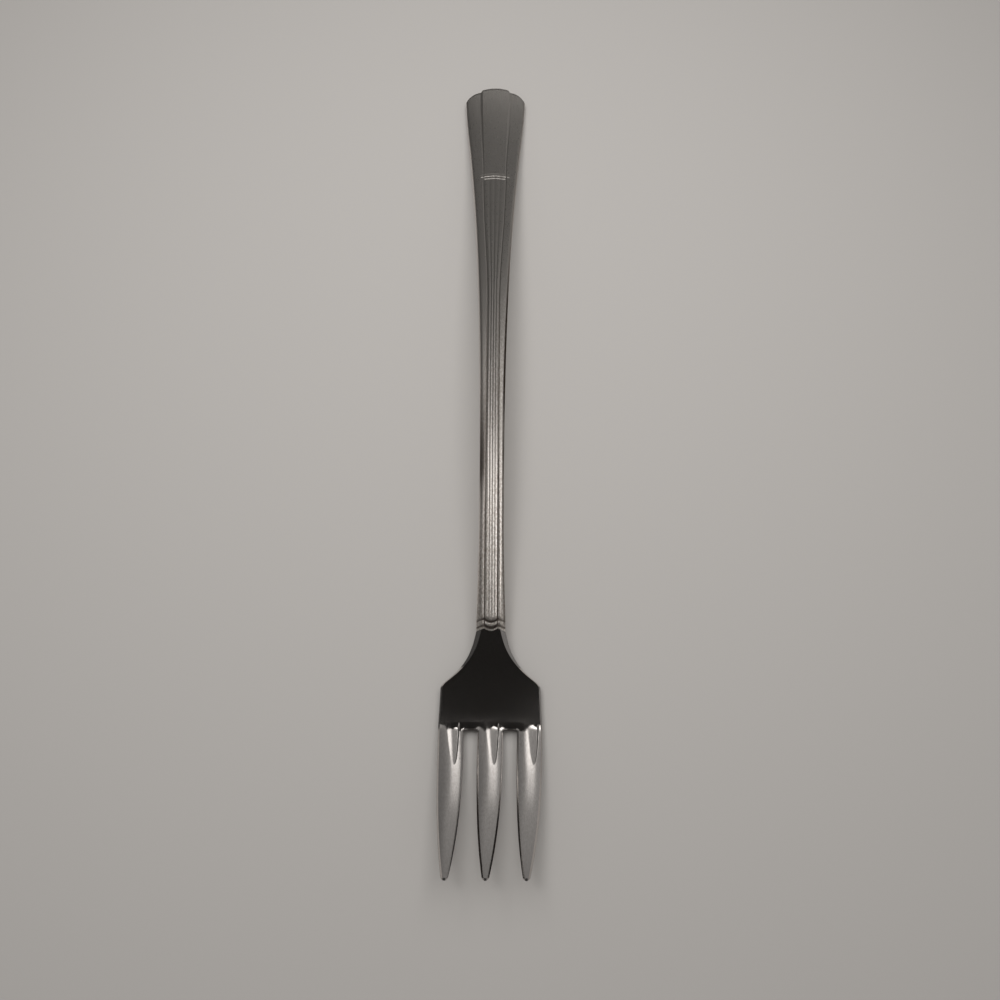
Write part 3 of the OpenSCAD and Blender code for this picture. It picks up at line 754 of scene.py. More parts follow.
@dataclass
class HandleRegion(Region):
    """A region of the handle, with its reeds, grooves, ribs, cut lines and bars."""

    start: float = 0.0
    end: float = 1.0
    row_step: float = 0.35
    least_rows: int = 8
    panel_steps: int = 32
    groove_steps: int = 12
    rib_steps: int = 17
    edge_steps: int = 12
    reeds: int = 4
    reed_height: float = 0.09
    reed_start: float = 1.0
    start_reed_share: float = 0.25
    worn_reed_share: float = 0.4
    faded_reed_share: float = 0.5
    groove_fade_share: float = 0.5
    groove_depth: float = 0.11
    rib_height: float = 0.035
    cut_depth: float = 0.24
    bead_height: float = 0.08
    cut_fade_share: float = 0.15
    line_half_width: float = 0.34
    bar_height: float = 0.07
    bar_half_width: float = 0.27
    bar_fade: float = 0.35
    short_bar_share: float = 0.74
    faint_bar_share: float = 0.45
    # where the painted shade on the left rib rises, and where the painted shade along the right
    # edge starts and how far in it spreads
    painted_rib_shade_before: float = 4.0
    painted_rib_shade_after: float = 3.0
    painted_edge_shade_start: float = 0.15
    painted_edge_shade_width: float = 0.3
    grime_reach_share: float = 1.3
    grime_fade_share: float = 0.8

    def columns(self, station: Array) -> Array:
        """Places across the handle, close together over its pattern and its edges."""
        blank = self.blank
        half = blank.half_width(station)[:, None]
        panel = blank.panel_half(station)[:, None]
        groove = blank.groove_across(station)[:, None]
        reach = blank.face_edge(station, 0)[:, None]
        edge = half - reach
        turn = 0.5 - 0.5 * np.cos(np.linspace(0.0, math.pi, self.edge_steps + 1)[1:])
        right = np.concatenate([
            panel * np.linspace(0.0, 1.0, self.panel_steps + 1)[1:],
            panel + groove * np.linspace(0.0, 1.0, self.groove_steps + 1)[1:],
            mix(panel + groove, edge, np.linspace(0.0, 1.0, self.rib_steps + 1)[1:]),
            edge + reach * turn,
        ], axis=1)
        return np.concatenate([-right[:, ::-1], np.zeros_like(half), right], axis=1)

    def offset(self, x: Array, station: Array) -> Array:
        """How far a place is from its row's station, where rows follow the lines across."""
        blank = self.blank
        near_collar = along([(blank.shoulder, 0.0), (blank.collar_start, 1.0),
                             (blank.collar_end, 1.0), (blank.waist, 0.0)], station)
        near_bars = along([(blank.bars_start - blank.spread_length, 0.0),
                           (blank.bars_start, 1.0)], station)
        return blank.collar_line(x) * near_collar + blank.bar_line(x) * near_bars

    def base_relief(self, x: Array, s: Array, station: Array) -> Array:
        """The collar's rounded lip and bead, and the step from the fan's middle panel."""
        blank = self.blank
        place = s - blank.collar_line(x)
        lip = clamp((place - blank.collar_start) / blank.lip_length)
        bead = clamp((place - blank.cut_line) / blank.bead_length)
        swell = self.bead_height * (np.sin(math.pi * lip) + np.sin(math.pi * bead))
        beside = clamp((np.abs(x) - blank.panel_half(station)) / blank.groove_across(station))
        step = blank.panel_rise * along([(blank.bars_end, 0.0), (blank.fan_corner, 1.0)], station)
        return swell - step * beside

    def points(self) -> Points:
        """Rows at even steps that bend with the collar's lines and the bars."""
        rows = max(self.least_rows, int(round((self.end - self.start) / self.row_step)))
        stations = np.linspace(self.start, self.end, rows + 1)
        x = self.columns(stations)
        station = np.broadcast_to(stations[:, None], x.shape)
        s = station + self.offset(x, station)
        distance = self.blank.half_width(station) - np.abs(x)
        return Points(x, s, station, distance, self.base_relief(x, s, station))

    def keep_reeding(self, piece: bpy.types.Object, grid: Points) -> None:
        """Stores where the panel, the grooves and the ribs lie, and how the reeding fades."""
        blank = self.blank
        q = np.abs(grid.x)
        panel = blank.panel_half(grid.station)
        groove = blank.groove_across(grid.station)
        half = blank.half_width(grid.station)
        beside = clamp((q - panel) / groove)
        fade = along([(blank.collar_start, 0.0), (blank.cut_line, 1.0), (blank.arch, 1.0),
                      (blank.bars_start, self.groove_fade_share)], grid.station)
        reeds = along([(blank.collar_end, 0.0),
                       (blank.collar_end + self.reed_start, self.start_reed_share),
                       (blank.worn_place, self.worn_reed_share), (blank.arch, 1.0),
                       (blank.bars_start, self.faded_reed_share), (blank.bars_end, 0.0)],
                      grid.station)
        self.keep(piece, "panel", np.clip(grid.x / panel, -1.0, 1.0))
        self.keep(piece, "groove", beside)
        self.keep(piece, "rib", clamp((q - panel - groove) / (half - panel - groove)))
        self.keep(piece, "cut_fade", fade)
        self.keep(piece, "reed_fade", fade * reeds * (1.0 - beside))

    def keep_grime_and_shade(self, piece: bpy.types.Object, grid: Points, cut_place: Array,
                  beside: Array) -> None:
        """Stores the grime in the cut lines, and painted shade on the left rib and along the right
        side's edge.
        """
        blank = self.blank
        q = np.abs(grid.x)
        groove = blank.groove_across(grid.station)
        past_groove = (q - blank.panel_half(grid.station) - groove / 2.0) / groove
        # painted shade on the left rib, darkest just past the worn stretch, where the light leaves
        # the rib dim
        rib = np.where(grid.x < 0.0, smooth(clamp(past_groove)), 0.0) * along([
            (blank.collar_start, 0.0), (blank.collar_end, 0.2),
            (blank.worn_place - self.painted_rib_shade_before, 0.3), (blank.worn_place + self.painted_rib_shade_after, 1.2),
            (blank.arch, 0.6), (blank.bars_start, 0.0),
        ], grid.station)
        # painted shade along the right side's edge, standing in for the dark reflection that edge
        # shows
        inward = blank.half_width(grid.station) - q - self.painted_edge_shade_start
        painted_edge_shade = 1.0 - smooth(clamp(inward / self.painted_edge_shade_width))
        side = np.where(grid.x > 0.0, painted_edge_shade, 0.0) * along([
            (blank.collar_start, 0.0), (blank.collar_end, 0.8), (blank.worn_place, 0.8),
            (blank.arch, 2.2), (blank.bars_end, 1.8),
        ], grid.station)
        from_cut = np.minimum(np.abs(cut_place), np.abs(cut_place - blank.bead_length))
        near_cut = smooth(clamp(self.grime_reach_share - from_cut / self.line_half_width))
        grime = near_cut * (1.0 - self.grime_fade_share * beside)
        self.keep(piece, "recess", np.maximum(grime, np.maximum(rib, side)))

    def keep_bars(self, piece: bpy.types.Object, grid: Points) -> None:
        """Stores how far each place is from the first bar, and how strong its bar is there."""
        blank = self.blank
        place = grid.s - blank.bar_line(grid.x) - blank.bars_start - blank.bar_pitch / 2.0
        bar = np.clip(np.round(place / blank.bar_pitch), 0, blank.bars - 1)
        reach = np.where(bar == 0, self.short_bar_share, 1.0) * blank.bar_width / 2.0
        ends = smooth(clamp((reach - np.abs(grid.x)) / self.bar_fade + 1.0))
        self.keep(piece, "bar_place", place * MM)
        self.keep(piece, "bar_strength",
                  ends * np.where(bar == blank.bars - 1, self.faint_bar_share, 1.0))

    def stamp(self, piece: bpy.types.Object, press: Press) -> None:
        """Presses the reeding, then the collar's cut lines, then the bars."""
        blank = self.blank
        grid = self.points()
        cut_place = grid.s - blank.collar_line(grid.x) - blank.cut_line
        past_panel = np.abs(grid.x) - blank.panel_half(grid.station)
        beside = clamp(past_panel / blank.groove_across(grid.station))
        self.keep_reeding(piece, grid)
        self.keep_grime_and_shade(piece, grid, cut_place, beside)
        self.keep_bars(piece, grid)
        self.keep(piece, "cut_place", cut_place * MM)
        self.keep(piece, "cut_strength", 1.0 - self.cut_fade_share * beside)
        press.apply(piece, press.reeding, Reeds=self.reeds, Reed_Height=self.reed_height * MM,
                    Groove_Depth=self.groove_depth * MM, Rib_Height=self.rib_height * MM,
                    Metal=self.metal)
        press.apply(piece, press.lines, Count=2, Pitch=blank.bead_length * MM,
                    Half_Width=self.line_half_width * MM, Height=-self.cut_depth * MM,
                    Place="cut_place", Strength="cut_strength", Metal=self.metal)
        press.apply(piece, press.lines, Count=blank.bars, Pitch=blank.bar_pitch * MM,
                    Half_Width=self.bar_half_width * MM, Height=self.bar_height * MM,
                    Place="bar_place", Strength="bar_strength", Metal=self.metal)


@dataclass
class FanRegion(HandleRegion):
    """The fan at the handle's end, whose last row follows the lobed outline."""

    def points(self) -> Points:
        """Rows that blend from the bars' last row to the outline of the end."""
        blank = self.blank
        rows = int(round(blank.fan_length / self.row_step))
        even = np.linspace(0.0, 1.0, rows + 1)
        share = np.concatenate([even[:-2], 1.0 - (1.0 - even[-2]) * np.cos(
            np.linspace(0.0, math.pi / 2.0, self.edge_steps + 1))])
        stations = mix(blank.bars_end, blank.fan_corner, share)
        x = self.columns(stations)
        station = np.broadcast_to(stations[:, None], x.shape)
        first = blank.bars_end + self.offset(x, np.full_like(x, blank.bars_end))
        last = np.broadcast_to(blank.end_line(x[-1])[None, :], x.shape)
        s = mix(first, last, share[:, None])
        side = blank.half_width(station) - np.abs(x)
        distance = np.minimum(side, (1.0 - share[:, None]) * (last - blank.bars_end))
        return Points(x, s, station, distance, self.base_relief(x, s, station))


@dataclass
class HeadRegion(HandleRegion):
    """The flat polished head, from the ends of the slots to the collar's lip."""

    panel_steps: int = 65
    edge_steps: int = 6
    tine_steps: int = 46
    slot_steps: int = 13
    bevel_rows: int = 2

    def root_columns(self) -> Array:
        """Places across the head's lower edge: three tines and two slots."""
        blank = self.blank
        tine = bevelled(np.array([blank.tine_width / 2.0]), np.array([blank.head_edge[0]]),
                        np.linspace(-1.0, 1.0, self.tine_steps + 1), self.edge_steps)[0]
        slot = np.linspace(-blank.slot_half, blank.slot_half, self.slot_steps + 1)[1:-1]
        middle = blank.tine_pitch / 2.0
        return np.concatenate([tine - blank.tine_pitch, slot - middle, tine,
                               slot + middle, tine + blank.tine_pitch])

    def slot_reach(self, x: Array) -> Array:
        """How far the rounded end of a slot reaches past the tines' ends."""
        blank = self.blank
        u = (np.abs(x) - blank.tine_pitch / 2.0) / blank.slot_half
        return blank.slot_end * np.sqrt(np.maximum(0.0, 1.0 - u * u))

    def points(self) -> Points:
        """Rows whose columns start at the tines and close up to the handle's own."""
        blank = self.blank
        rows = int(round((blank.collar_start - blank.root) / self.row_step))
        even = np.linspace(0.0, 1.0, rows + 1)
        stations = mix(blank.root, blank.collar_start, even)
        half = blank.half_width(stations)
        root = self.root_columns()
        neck = self.columns(np.array([blank.collar_start]))[0]
        edge = self.edge_steps
        inner = mix(root[edge:-edge] / root[-edge - 1], neck[edge:-edge] / neck[-edge - 1],
                    smooth(even)[:, None])
        x = bevelled(half, blank.face_edge(stations, 0), inner, edge)
        half = half[:, None]
        station = np.broadcast_to(stations[:, None], x.shape)
        near = clamp((blank.shoulder - station) / blank.shoulder_length)
        s = station + self.offset(x, station) + self.slot_reach(root)[None, :] * near
        aside = np.maximum(0.0, np.abs(np.abs(x) - blank.tine_pitch / 2.0) - blank.slot_half)
        above = np.maximum(0.0, s - blank.root - self.slot_reach(x))
        distance = np.minimum(half - np.abs(x), np.hypot(aside, above))
        nearest = np.clip(np.round(x / blank.tine_pitch), -1.0, 1.0) * blank.tine_pitch
        return Points(x, s, station, distance, -blank.hollow(x - nearest, s))

    def bends(self, index: Array) -> list[Array]:
        """The inner ends of the bevels at the sides and at the ends of the slots."""
        aside = np.abs(np.abs(self.root_columns()) - self.blank.tine_pitch / 2.0)
        return [index[:, self.edge_steps], index[:, -1 - self.edge_steps],
                index[self.bevel_rows, aside < self.blank.slot_half + self.sheared_width]]

    def stamp(self, piece: bpy.types.Object, press: Press) -> None:
        """Leaves the head plain."""
        Region.stamp(self, piece, press)


@dataclass
class TineRegion(Region):
    """A tine: crowned, scooped where it leaves the head, and drawn to a blunt point."""

    side: int = 0
    steps: int = 46
    edge_steps: int = 6
    row_step: float = 0.12
    row_power: float = 1.3
    taper_power: float = 3.0
    cap_share: float = 0.97
    widest_bevel_share: float = 0.8

    def half_at(self, s: Array) -> Array:
        """Half of the tine's width."""
        blank = self.blank
        taper = 1.0 - (1.0 - s / blank.root) ** self.taper_power
        cap = np.sqrt(1.0 - (self.cap_share * (1.0 - clamp(2.0 * s / blank.point_width))) ** 2)
        return mix(blank.point_width / 2.0, blank.tine_width / 2.0, taper) * cap

    def points(self) -> Points:
        """Rows from the point to the head, closest together at the point."""
        blank = self.blank
        rows = int(round(blank.root / self.row_step))
        s_rows = blank.root * np.linspace(0.0, 1.0, rows + 1) ** self.row_power
        half = self.half_at(s_rows)
        reach = np.minimum(blank.face_edge(s_rows, 0), self.widest_bevel_share * half)
        across = bevelled(half, reach, np.linspace(-1.0, 1.0, self.steps + 1)[None, :],
                          self.edge_steps)
        half = half[:, None]
        s = np.broadcast_to(s_rows[:, None], across.shape)
        middle = (self.side * mix(blank.point_pitch, blank.tine_pitch, s / blank.root)
                  - blank.point_lean * (1.0 - s / blank.root) ** blank.lean_power)
        distance = np.minimum(half - np.abs(across), s)
        return Points(middle + across, s, s, distance, -blank.hollow(across, s))

    def bends(self, index: Array) -> list[Array]:
        """The inner ends of the bevels at the sides."""
        return [index[:, self.edge_steps], index[:, -1 - self.edge_steps]]


@dataclass(frozen=True)
class Steel:
    """One finish of the steel."""

    name: str
    base: tuple[float, float, float]
    shade: tuple[float, float, float]
    worn_low: tuple[float, float, float]
    worn_high: tuple[float, float, float]
    rough_low: float
    rough_high: float
    worn_rough: float
    scratch: float
    pits: float
    # how strongly the carried mask darkens the steel, grime and painted shade alike
    grime: float


class Slot(Enum):
    """Material slots of the record."""

    SATIN = "satin_steel"
    POLISHED = "polished_steel"


SATIN = Steel("Satin steel", (0.68, 0.645, 0.61), (0.6, 0.57, 0.535),
              (0.66, 0.6, 0.545), (1.0, 0.955, 0.91), 0.26, 0.34,
              0.1, 0.35, 0.25, 0.85)
POLISHED = Steel("Polished steel", (0.66, 0.63, 0.605), (0.58, 0.55, 0.53),
                 (0.6, 0.57, 0.55), (0.66, 0.63, 0.61), 0.07, 0.11,
                 0.0, 0.1, 0.1, 0.9)


class SteelShop:
    """Builds the steel's materials from shared effects."""

    grime_and_shade_colour = (0.06, 0.045, 0.035)
    clean_grime_and_shade_share = 0.3
    dirt_roughness = 0.35
    grain_span = (0.38, 0.62)
    scratch_span = (0.3, 0.7)
    scratch_depth = 0.00001

    def __init__(self) -> None:
        """Builds each shared effect once."""
        self.scratches = self._scratches()
        self.mottle = self._mottle()

    @staticmethod
    def _group(name: str, inputs: list[tuple[str, str, float]], outputs: list[str]) -> NodeWriter:
        """Makes an empty shader group with named inputs and number outputs."""
        tree = bpy.data.node_groups.new(name, "ShaderNodeTree")
        for label, kind, default in inputs:
            socket = tree.interface.new_socket(label, in_out="INPUT", socket_type=kind)
            if kind == "NodeSocketFloat":
                socket.default_value = default
        for label in outputs:
            tree.interface.new_socket(label, in_out="OUTPUT", socket_type="NodeSocketFloat")
        return NodeWriter(tree)

    def _scratches(self) -> bpy.types.NodeTree:
        """Fine scratches along the fork, from noise drawn out lengthwise."""
        writer = self._group("Fine scratches", [
            ("Vector", "NodeSocketVector", 0.0), ("Across", "NodeSocketFloat", 9000.0),
            ("Lengthwise", "NodeSocketFloat", 260.0),
        ], ["Height"])
        source = writer.add("NodeGroupInput")
        stretch = writer.add("ShaderNodeCombineXYZ", X=source.outputs["Across"],
                             Y=source.outputs["Lengthwise"], Z=source.outputs["Across"])
        place = writer.tree.nodes.new("ShaderNodeVectorMath")
        place.operation = "MULTIPLY"
        writer.put(place.inputs[0], source.outputs["Vector"])
        writer.put(place.inputs[1], stretch.outputs[0])
        noise = writer.add("ShaderNodeTexNoise", Vector=place.outputs[0], Scale=1.0, Detail=3.0,
                           Roughness=0.6)
        out = writer.add("NodeGroupOutput")
        writer.put(out.inputs["Height"], noise.outputs[0])
        return writer.tree

    def _mottle(self) -> bpy.types.NodeTree:
        """Uneven wear and small dark pits."""
        writer = self._group("Mottle and pits", [
            ("Vector", "NodeSocketVector", 0.0), ("Pit Scale", "NodeSocketFloat", 900.0),
        ], ["Mottle", "Pits"])
        source = writer.add("NodeGroupInput")
        broad = writer.add("ShaderNodeTexNoise", Vector=source.outputs["Vector"], Scale=220.0,
                           Detail=4.0, Roughness=0.6)
        cells = writer.add("ShaderNodeTexVoronoi", Vector=source.outputs["Vector"],
                           Scale=source.outputs["Pit Scale"])
        chance = writer.add("ShaderNodeSeparateColor", Color=cells.outputs["Color"])
        pick = writer.math("GREATER_THAN", chance.outputs[0], 0.93)
        near = writer.math("SUBTRACT", 1.0, writer.math(
            "DIVIDE", cells.outputs["Distance"], 0.25), held=True)
        out = writer.add("NodeGroupOutput")
        writer.put(out.inputs["Mottle"], broad.outputs[0])
        writer.put(out.inputs["Pits"], writer.math("MULTIPLY", pick, near))
        return writer.tree

    @staticmethod
    def _carried(writer: NodeWriter, name: str) -> bpy.types.NodeSocket:
        """Reads a number that the piece carries at each point."""
        node = writer.add("ShaderNodeAttribute")
        node.attribute_name = name
        return node.outputs["Fac"]

    def material(self, steel: Steel) -> bpy.types.Material:
        """Builds one finish.

        Args:
            steel: The finish's colours, roughness and wear.

        Returns:
            The material, on Object coordinates.
        """
        material = bpy.data.materials.new(steel.name)
        material.use_nodes = True
        material.node_tree.nodes.clear()
        writer = NodeWriter(material.node_tree)
        place = writer.add("ShaderNodeTexCoord").outputs["Object"]
        scratch = writer.shared(self.scratches, Vector=place, Across=9000.0, Lengthwise=260.0)
        grain = writer.shared(self.scratches, Vector=place, Across=4600.0, Lengthwise=2100.0)
        wear = writer.shared(self.mottle, Vector=place, Pit_Scale=900.0)
        worn = self._carried(writer, "wear")
        # The carried mask darkens the colour: grime in the cut lines and valleys, painted shade on
        # the handle's left rib and right edge, and the darkened outline strips of the head and
        # tines.
        held = writer.math("ADD", self.clean_grime_and_shade_share, writer.math(
            "MULTIPLY", worn, 1.0 - self.clean_grime_and_shade_share))
        grime_and_shade = writer.math("MULTIPLY", self._carried(writer, "recess"),
                           writer.product(held, steel.grime), held=True)
        grime_and_shade = writer.math("MAXIMUM", grime_and_shade, writer.product(wear.outputs["Pits"], steel.pits))
        tone = writer.blend_colours(wear.outputs["Mottle"], steel.shade, steel.base)
        streak = writer.add("ShaderNodeMapRange", Value=grain.outputs["Height"],
                            From_Min=self.grain_span[0], From_Max=self.grain_span[1])
        rubbed = writer.blend_colours(streak.outputs["Result"], steel.worn_low, steel.worn_high)
        clean = writer.blend_colours(worn, tone, rubbed)
        colour = writer.blend_colours(grime_and_shade, clean, self.grime_and_shade_colour)
        rough = writer.add("ShaderNodeMapRange", Value=scratch.outputs["Height"],
                           From_Min=self.scratch_span[0], From_Max=self.scratch_span[1],
                           To_Min=steel.rough_low, To_Max=steel.rough_high)
        rough_worn = writer.math("ADD", rough.outputs["Result"],
                                 writer.product(worn, steel.worn_rough))
        rough_dirt = writer.math("ADD", rough_worn,
                                 writer.product(grime_and_shade, self.dirt_roughness), held=True)
        bump = writer.add("ShaderNodeBump", Strength=steel.scratch, Distance=self.scratch_depth,
                          Height=scratch.outputs["Height"])
        shader = writer.add("ShaderNodeBsdfPrincipled", Base_Color=colour, Metallic=1.0,
                            Roughness=rough_dirt, Normal=bump.outputs[0])
        out = writer.add("ShaderNodeOutputMaterial")
        writer.put(out.inputs["Surface"], shader.outputs[0])
        return material


@dataclass(frozen=True)
class Lamp:
    """A soft square lamp that looks at the fork and stays out of reflections."""

    name: str
    size: float
    place: tuple[float, float, float]
    power: float

    def hang(self) -> None:
        """Hangs the lamp in the scene."""
        data = bpy.data.lights.new(self.name, "AREA")
        data.size = self.size
        data.energy = self.power
        lamp = bpy.data.objects.new(self.name, data)
        lamp.location = self.place
        x, y, z = np.array(self.place) / np.linalg.norm(self.place)
        lamp.rotation_euler = (math.acos(z), 0.0, math.atan2(x, -y))
        lamp.visible_glossy = False
        bpy.context.scene.collection.objects.link(lamp)


@dataclass(frozen=True)
class Way:
    """The way in which a ray leaves, as sockets.

    x is its share towards the right. tilt is its angle from straight up towards the fan,
    aside from straight up towards the right, and slant from straight up.
    """

    x: bpy.types.NodeSocket
    tilt: bpy.types.NodeSocket
    aside: bpy.types.NodeSocket
    slant: bpy.types.NodeSocket


@dataclass(frozen=True)
class Sky:
    """Even light for the table, and a bright ceiling, dim walls and a strip for metal to mirror.

    Each span is where a light rises or falls. Those of x are shares, the others degrees.
    """

    colour: tuple[float, float, float, float] = (1.0, 0.98, 0.955, 1.0)
    table_level: float = 0.33
    plain_level: float = 0.45
    least_rise: float = 0.0001
    right_lead: float = 0.9
    left_lead: float = 0.45
    early_span: tuple[float, float] = (8.5, 22.5)
    tilt_span: tuple[float, float] = (11.0, 21.0)
    slant_span: tuple[float, float] = (36.0, 56.0)
    far_left_span: tuple[float, float] = (-0.5, -0.3)
    left_levels: tuple[float, float] = (0.6, 0.32)
    right_span: tuple[float, float] = (-0.1, 0.12)
    right_level: float = 1.9
    rise_span: tuple[float, float] = (-15.0, 3.0)
    rise_shares: tuple[float, float] = (0.88, 1.2)
    fall_span: tuple[float, float] = (9.0, 15.0)
    fall_share: float = 0.6
    low_right_span: tuple[float, float] = (0.2, 0.6)
    low_levels: tuple[float, float] = (0.12, 0.22)
    wall_span: tuple[float, float] = (10.0, 60.0)
    wall_level: float = 0.38
    left_wall_span: tuple[float, float] = (-14.0, -3.0)
    left_wall_share: float = 0.6
    strip_start: tuple[float, float] = (16.5, 18.5)
    strip_turn: tuple[float, float] = (21.5, 23.0)
    strip_end: tuple[float, float] = (23.0, 27.5)
    strip_levels: tuple[float, float] = (1.3, 0.5)
    strip_aside: float = 1.5
    strip_side: tuple[float, float] = (2.5, 7.5)
    close_span: tuple[float, float] = (-34.0, -26.0)
    close_left: tuple[float, float] = (-0.3, -0.1)
    close_right: tuple[float, float] = (0.1, 0.3)
    close_levels: tuple[float, float, float] = (0.1, 0.04, 0.22)

    @staticmethod
    def past(writer: NodeWriter, angle: object, span: tuple[float, float]) -> bpy.types.NodeSocket:
        """Rises from 0 to 1 over a span of angles in degrees."""
        return writer.ramp(angle, math.radians(span[0]), math.radians(span[1]))

    def before(self, writer: NodeWriter, angle: object,
               span: tuple[float, float]) -> bpy.types.NodeSocket:
        """Falls from 1 to 0 over a span of angles in degrees."""
        return writer.rest(self.past(writer, angle, span))

    def overhead(self, writer: NodeWriter, way: Way) -> bpy.types.NodeSocket:
        """How far a ray meets the ceiling. The ceiling's far edge slants on both sides."""
        right = writer.product(writer.math("MAXIMUM", way.aside, 0.0), self.right_lead)
        left = writer.product(writer.math("MINIMUM", way.aside, 0.0), self.left_lead)
        early = writer.math("SUBTRACT", way.tilt, writer.math("ADD", right, left))
        return writer.product(self.before(writer, early, self.early_span),
                              self.before(writer, way.tilt, self.tilt_span),
                              self.before(writer, way.slant, self.slant_span))

    def ceiling(self, writer: NodeWriter, way: Way) -> bpy.types.NodeSocket:
        """Light of the ceiling. It is brightest on the right."""
        left = writer.blend(writer.ramp(way.x, *self.far_left_span), *self.left_levels)
        light = writer.blend(writer.ramp(way.x, *self.right_span), left, self.right_level)
        share = writer.blend(self.past(writer, way.tilt, self.rise_span), *self.rise_shares)
        share = writer.blend(self.past(writer, way.tilt, self.fall_span), share, self.fall_share)
        return writer.product(light, share)

    def walls(self, writer: NodeWriter, way: Way) -> bpy.types.NodeSocket:
        """Light of the dim walls. They darken towards the table and on the left."""
        low = writer.blend(writer.ramp(way.x, *self.low_right_span), *self.low_levels)
        light = writer.blend(self.past(writer, way.slant, self.wall_span), self.wall_level, low)
        left = self.past(writer, way.aside, self.left_wall_span)
        return writer.product(light, writer.blend(left, self.left_wall_share, 1.0))

    def strip(self, writer: NodeWriter, way: Way) -> bpy.types.NodeSocket:
        """Light of the narrow strip past the ceiling's far edge."""
        light = writer.blend(self.past(writer, way.tilt, self.strip_turn), *self.strip_levels)
        apart = writer.math("ABSOLUTE", writer.math(
            "SUBTRACT", way.aside, math.radians(self.strip_aside)))
        return writer.product(light, self.past(writer, way.tilt, self.strip_start),
                              self.before(writer, way.tilt, self.strip_end),
                              self.before(writer, apart, self.strip_side))

    def close(self, writer: NodeWriter, way: Way) -> bpy.types.NodeSocket:
        """Dim light from behind the points of the tines."""
        left, middle, right = self.close_levels
        light = writer.blend(writer.ramp(way.x, *self.close_right), middle, right)
        return writer.blend(writer.ramp(way.x, *self.close_left), left, light)

    def hang(self) -> None:
        """Builds the world. Only glossy rays see the light for metal."""
        world = bpy.data.worlds.new("studio")
        world.use_nodes = True
        bpy.context.scene.world = world
        world.node_tree.nodes.clear()
        writer = NodeWriter(world.node_tree)
        place = writer.add("ShaderNodeTexCoord").outputs["Generated"]
        x, y, z = writer.add("ShaderNodeSeparateXYZ", Vector=place).outputs
        upward = writer.math("MAXIMUM", z, self.least_rise)
        way = Way(x, writer.math("ARCTAN2", y, upward), writer.math("ARCTAN2", x, upward),
                  writer.math("ARCCOSINE", z))
        shine = writer.blend(self.overhead(writer, way), self.walls(writer, way),
                             self.ceiling(writer, way))
        shine = writer.math("ADD", shine, self.strip(writer, way))
        shine = writer.blend(self.past(writer, way.tilt, self.close_span),
                             self.close(writer, way), shine)
        rays = writer.add("ShaderNodeLightPath").outputs
        even = writer.blend(rays["Is Diffuse Ray"], self.plain_level, self.table_level)
        background = writer.add("ShaderNodeBackground", Color=self.colour,
                                Strength=writer.blend(rays["Is Glossy Ray"], even, shine))
        out = writer.add("ShaderNodeOutputWorld")
        writer.put(out.inputs["Surface"], background.outputs[0])


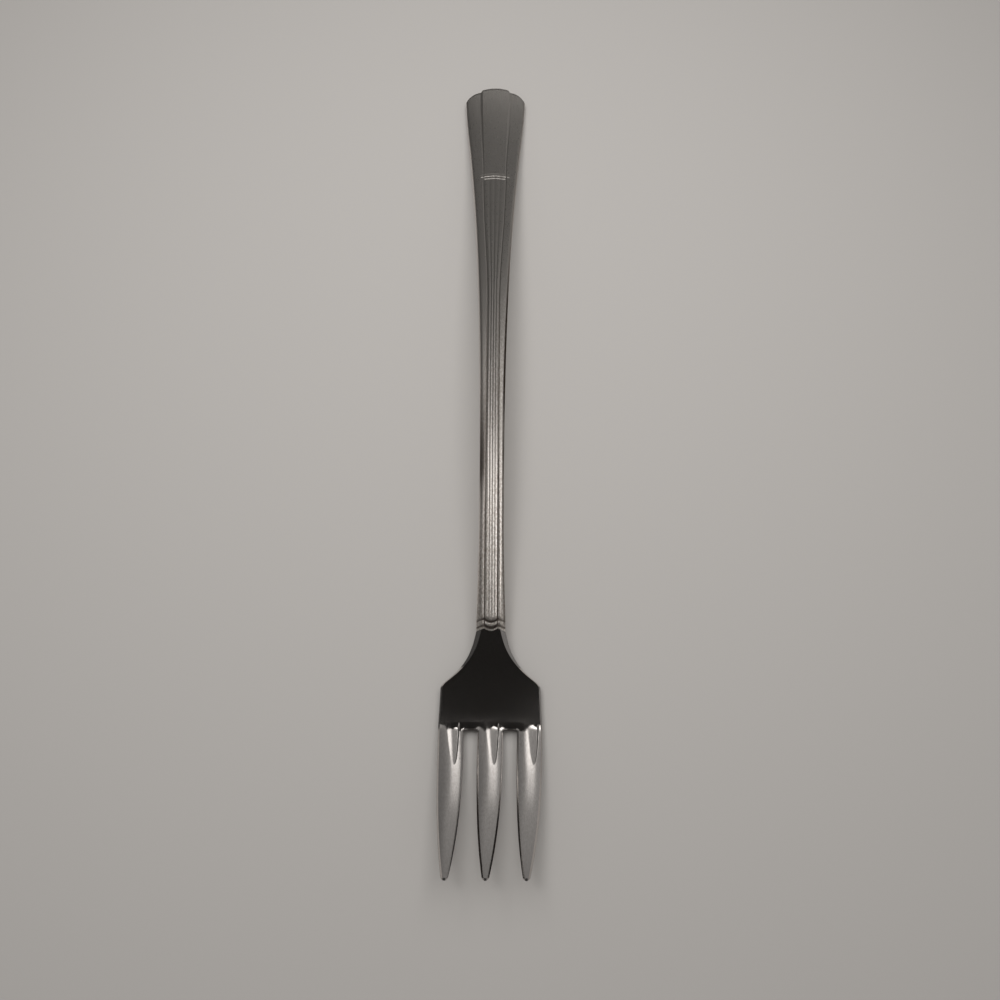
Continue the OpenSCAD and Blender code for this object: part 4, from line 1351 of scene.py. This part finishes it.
@dataclass
class Studio:
    """The pale table, the soft lights and the camera at the photograph's angle."""

    table_colour: tuple[float, float, float] = (0.46, 0.44, 0.42)
    table_half: float = 3.0
    card_shade: float = 0.055
    card_height: float = 0.16
    card_half_widths: tuple[tuple[float, float], ...] = (
        (-0.15, 0.065), (-0.065, 0.065), (-0.04, 0.025), (0.001, 0.025))
    sky: Sky = Sky()
    lamps: tuple[Lamp, ...] = (Lamp("key", 0.12, (-0.15, 0.05, 0.5), 0.27),
                               Lamp("top fill", 0.2, (0.0, 0.05, 0.18), 0.29))
    camera_height: float = 135.86
    camera_place: float = 10.67
    camera_side: float = 1.56
    camera_tilt: float = 19.42
    camera_turn: float = 0.279
    focal_pixels: float = 850.0
    frame_pixels: float = 1000.0
    sensor: float = 36.0
    clip_start: float = 0.01

    def camera(self, blank: Blank) -> None:
        """Stands the camera over the tines, tilted towards the fan."""
        data = bpy.data.cameras.new("camera")
        data.sensor_width = self.sensor
        data.lens = self.sensor * self.focal_pixels / self.frame_pixels
        data.clip_start = self.clip_start
        camera = bpy.data.objects.new("camera", data)
        camera.location = (self.camera_side * MM, (self.camera_place - blank.fan_end / 2.0) * MM,
                           self.camera_height * MM)
        camera.rotation_euler = (math.radians(self.camera_tilt), 0.0,
                                 math.radians(self.camera_turn))
        bpy.context.scene.collection.objects.link(camera)
        bpy.context.scene.camera = camera

    @staticmethod
    def sheet(name: str, half_widths: tuple[tuple[float, float], ...], height: float,
              material: bpy.types.Material) -> bpy.types.Object:
        """Makes a flat level sheet.

        Args:
            name: Name of the sheet.
            half_widths: Pairs of a place along Y and the sheet's half width there, in order.
            height: Height of the sheet above the table.
            material: What the sheet is made of.

        Returns:
            The sheet.
        """
        right = [(half, y) for y, half in half_widths]
        left = [(-half, y) for y, half in reversed(half_widths)]
        outline = right + left
        mesh = bpy.data.meshes.new(name)
        mesh.from_pydata([(x, y, height) for x, y in outline], [],
                         [tuple(range(len(outline)))])
        mesh.materials.append(material)
        sheet = bpy.data.objects.new(name, mesh)
        bpy.context.scene.collection.objects.link(sheet)
        return sheet

    @staticmethod
    def matt(name: str, colour: tuple[float, float, float], roughness: float,
             specular: float) -> bpy.types.Material:
        """Makes a plain matt material for a sheet."""
        material = bpy.data.materials.new(name)
        material.use_nodes = True
        shader = material.node_tree.nodes["Principled BSDF"]
        shader.inputs["Base Color"].default_value = (*colour, 1.0)
        shader.inputs["Roughness"].default_value = roughness
        shader.inputs["Specular IOR Level"].default_value = specular
        return material

    def table(self) -> None:
        """Lays the pale matt table."""
        half = self.table_half
        self.sheet("table", ((-half, half), (half, half)), 0.0,
                   self.matt("Pale table", self.table_colour, 0.9, 0.1))

    def dark_card(self) -> None:
        """Hangs a black card above the head, as the camera's own body would be."""
        card = self.sheet("card", self.card_half_widths, self.card_height,
                          self.matt("Black card", (self.card_shade,) * 3, 1.0, 0.0))
        card.visible_camera = False
        card.visible_diffuse = False
        card.visible_shadow = False

    def build(self, blank: Blank) -> None:
        """Sets everything round the fork."""
        self.camera(blank)
        self.table()
        self.dark_card()
        self.sky.hang()
        for lamp in self.lamps:
            lamp.hang()
        bpy.context.scene.view_settings.view_transform = "Standard"


def main() -> None:
    """Builds the studio and the fork."""
    logging.basicConfig(level=logging.INFO, format="%(message)s")
    blank = Blank()
    Studio().build(blank)
    shop = SteelShop()
    satin = shop.material(SATIN)
    polished = shop.material(POLISHED)
    press = Press()
    satin_slot, polished_slot = Slot.SATIN.value, Slot.POLISHED.value
    regions: list[Region] = [
        FanRegion("fan", satin_slot, satin, blank, (False, True), row_step=0.2),
        HandleRegion("cross_bars", satin_slot, satin, blank, start=blank.bars_start,
                     end=blank.bars_end, row_step=0.05),
        HandleRegion("shank", satin_slot, satin, blank, start=blank.collar_end,
                     end=blank.bars_start, row_step=0.35),
        HandleRegion("collar", satin_slot, satin, blank, start=blank.collar_start,
                     end=blank.collar_end, row_step=0.03),
        HeadRegion("head", polished_slot, polished, blank, row_step=0.12),
    ]
    regions += [TineRegion(name, polished_slot, polished, blank, (True, False), side=side)
                for name, side in (("left_tine", -1), ("middle_tine", 0), ("right_tine", 1))]
    for region in regions:
        region.make(press)


if __name__ == "__main__":
    main()
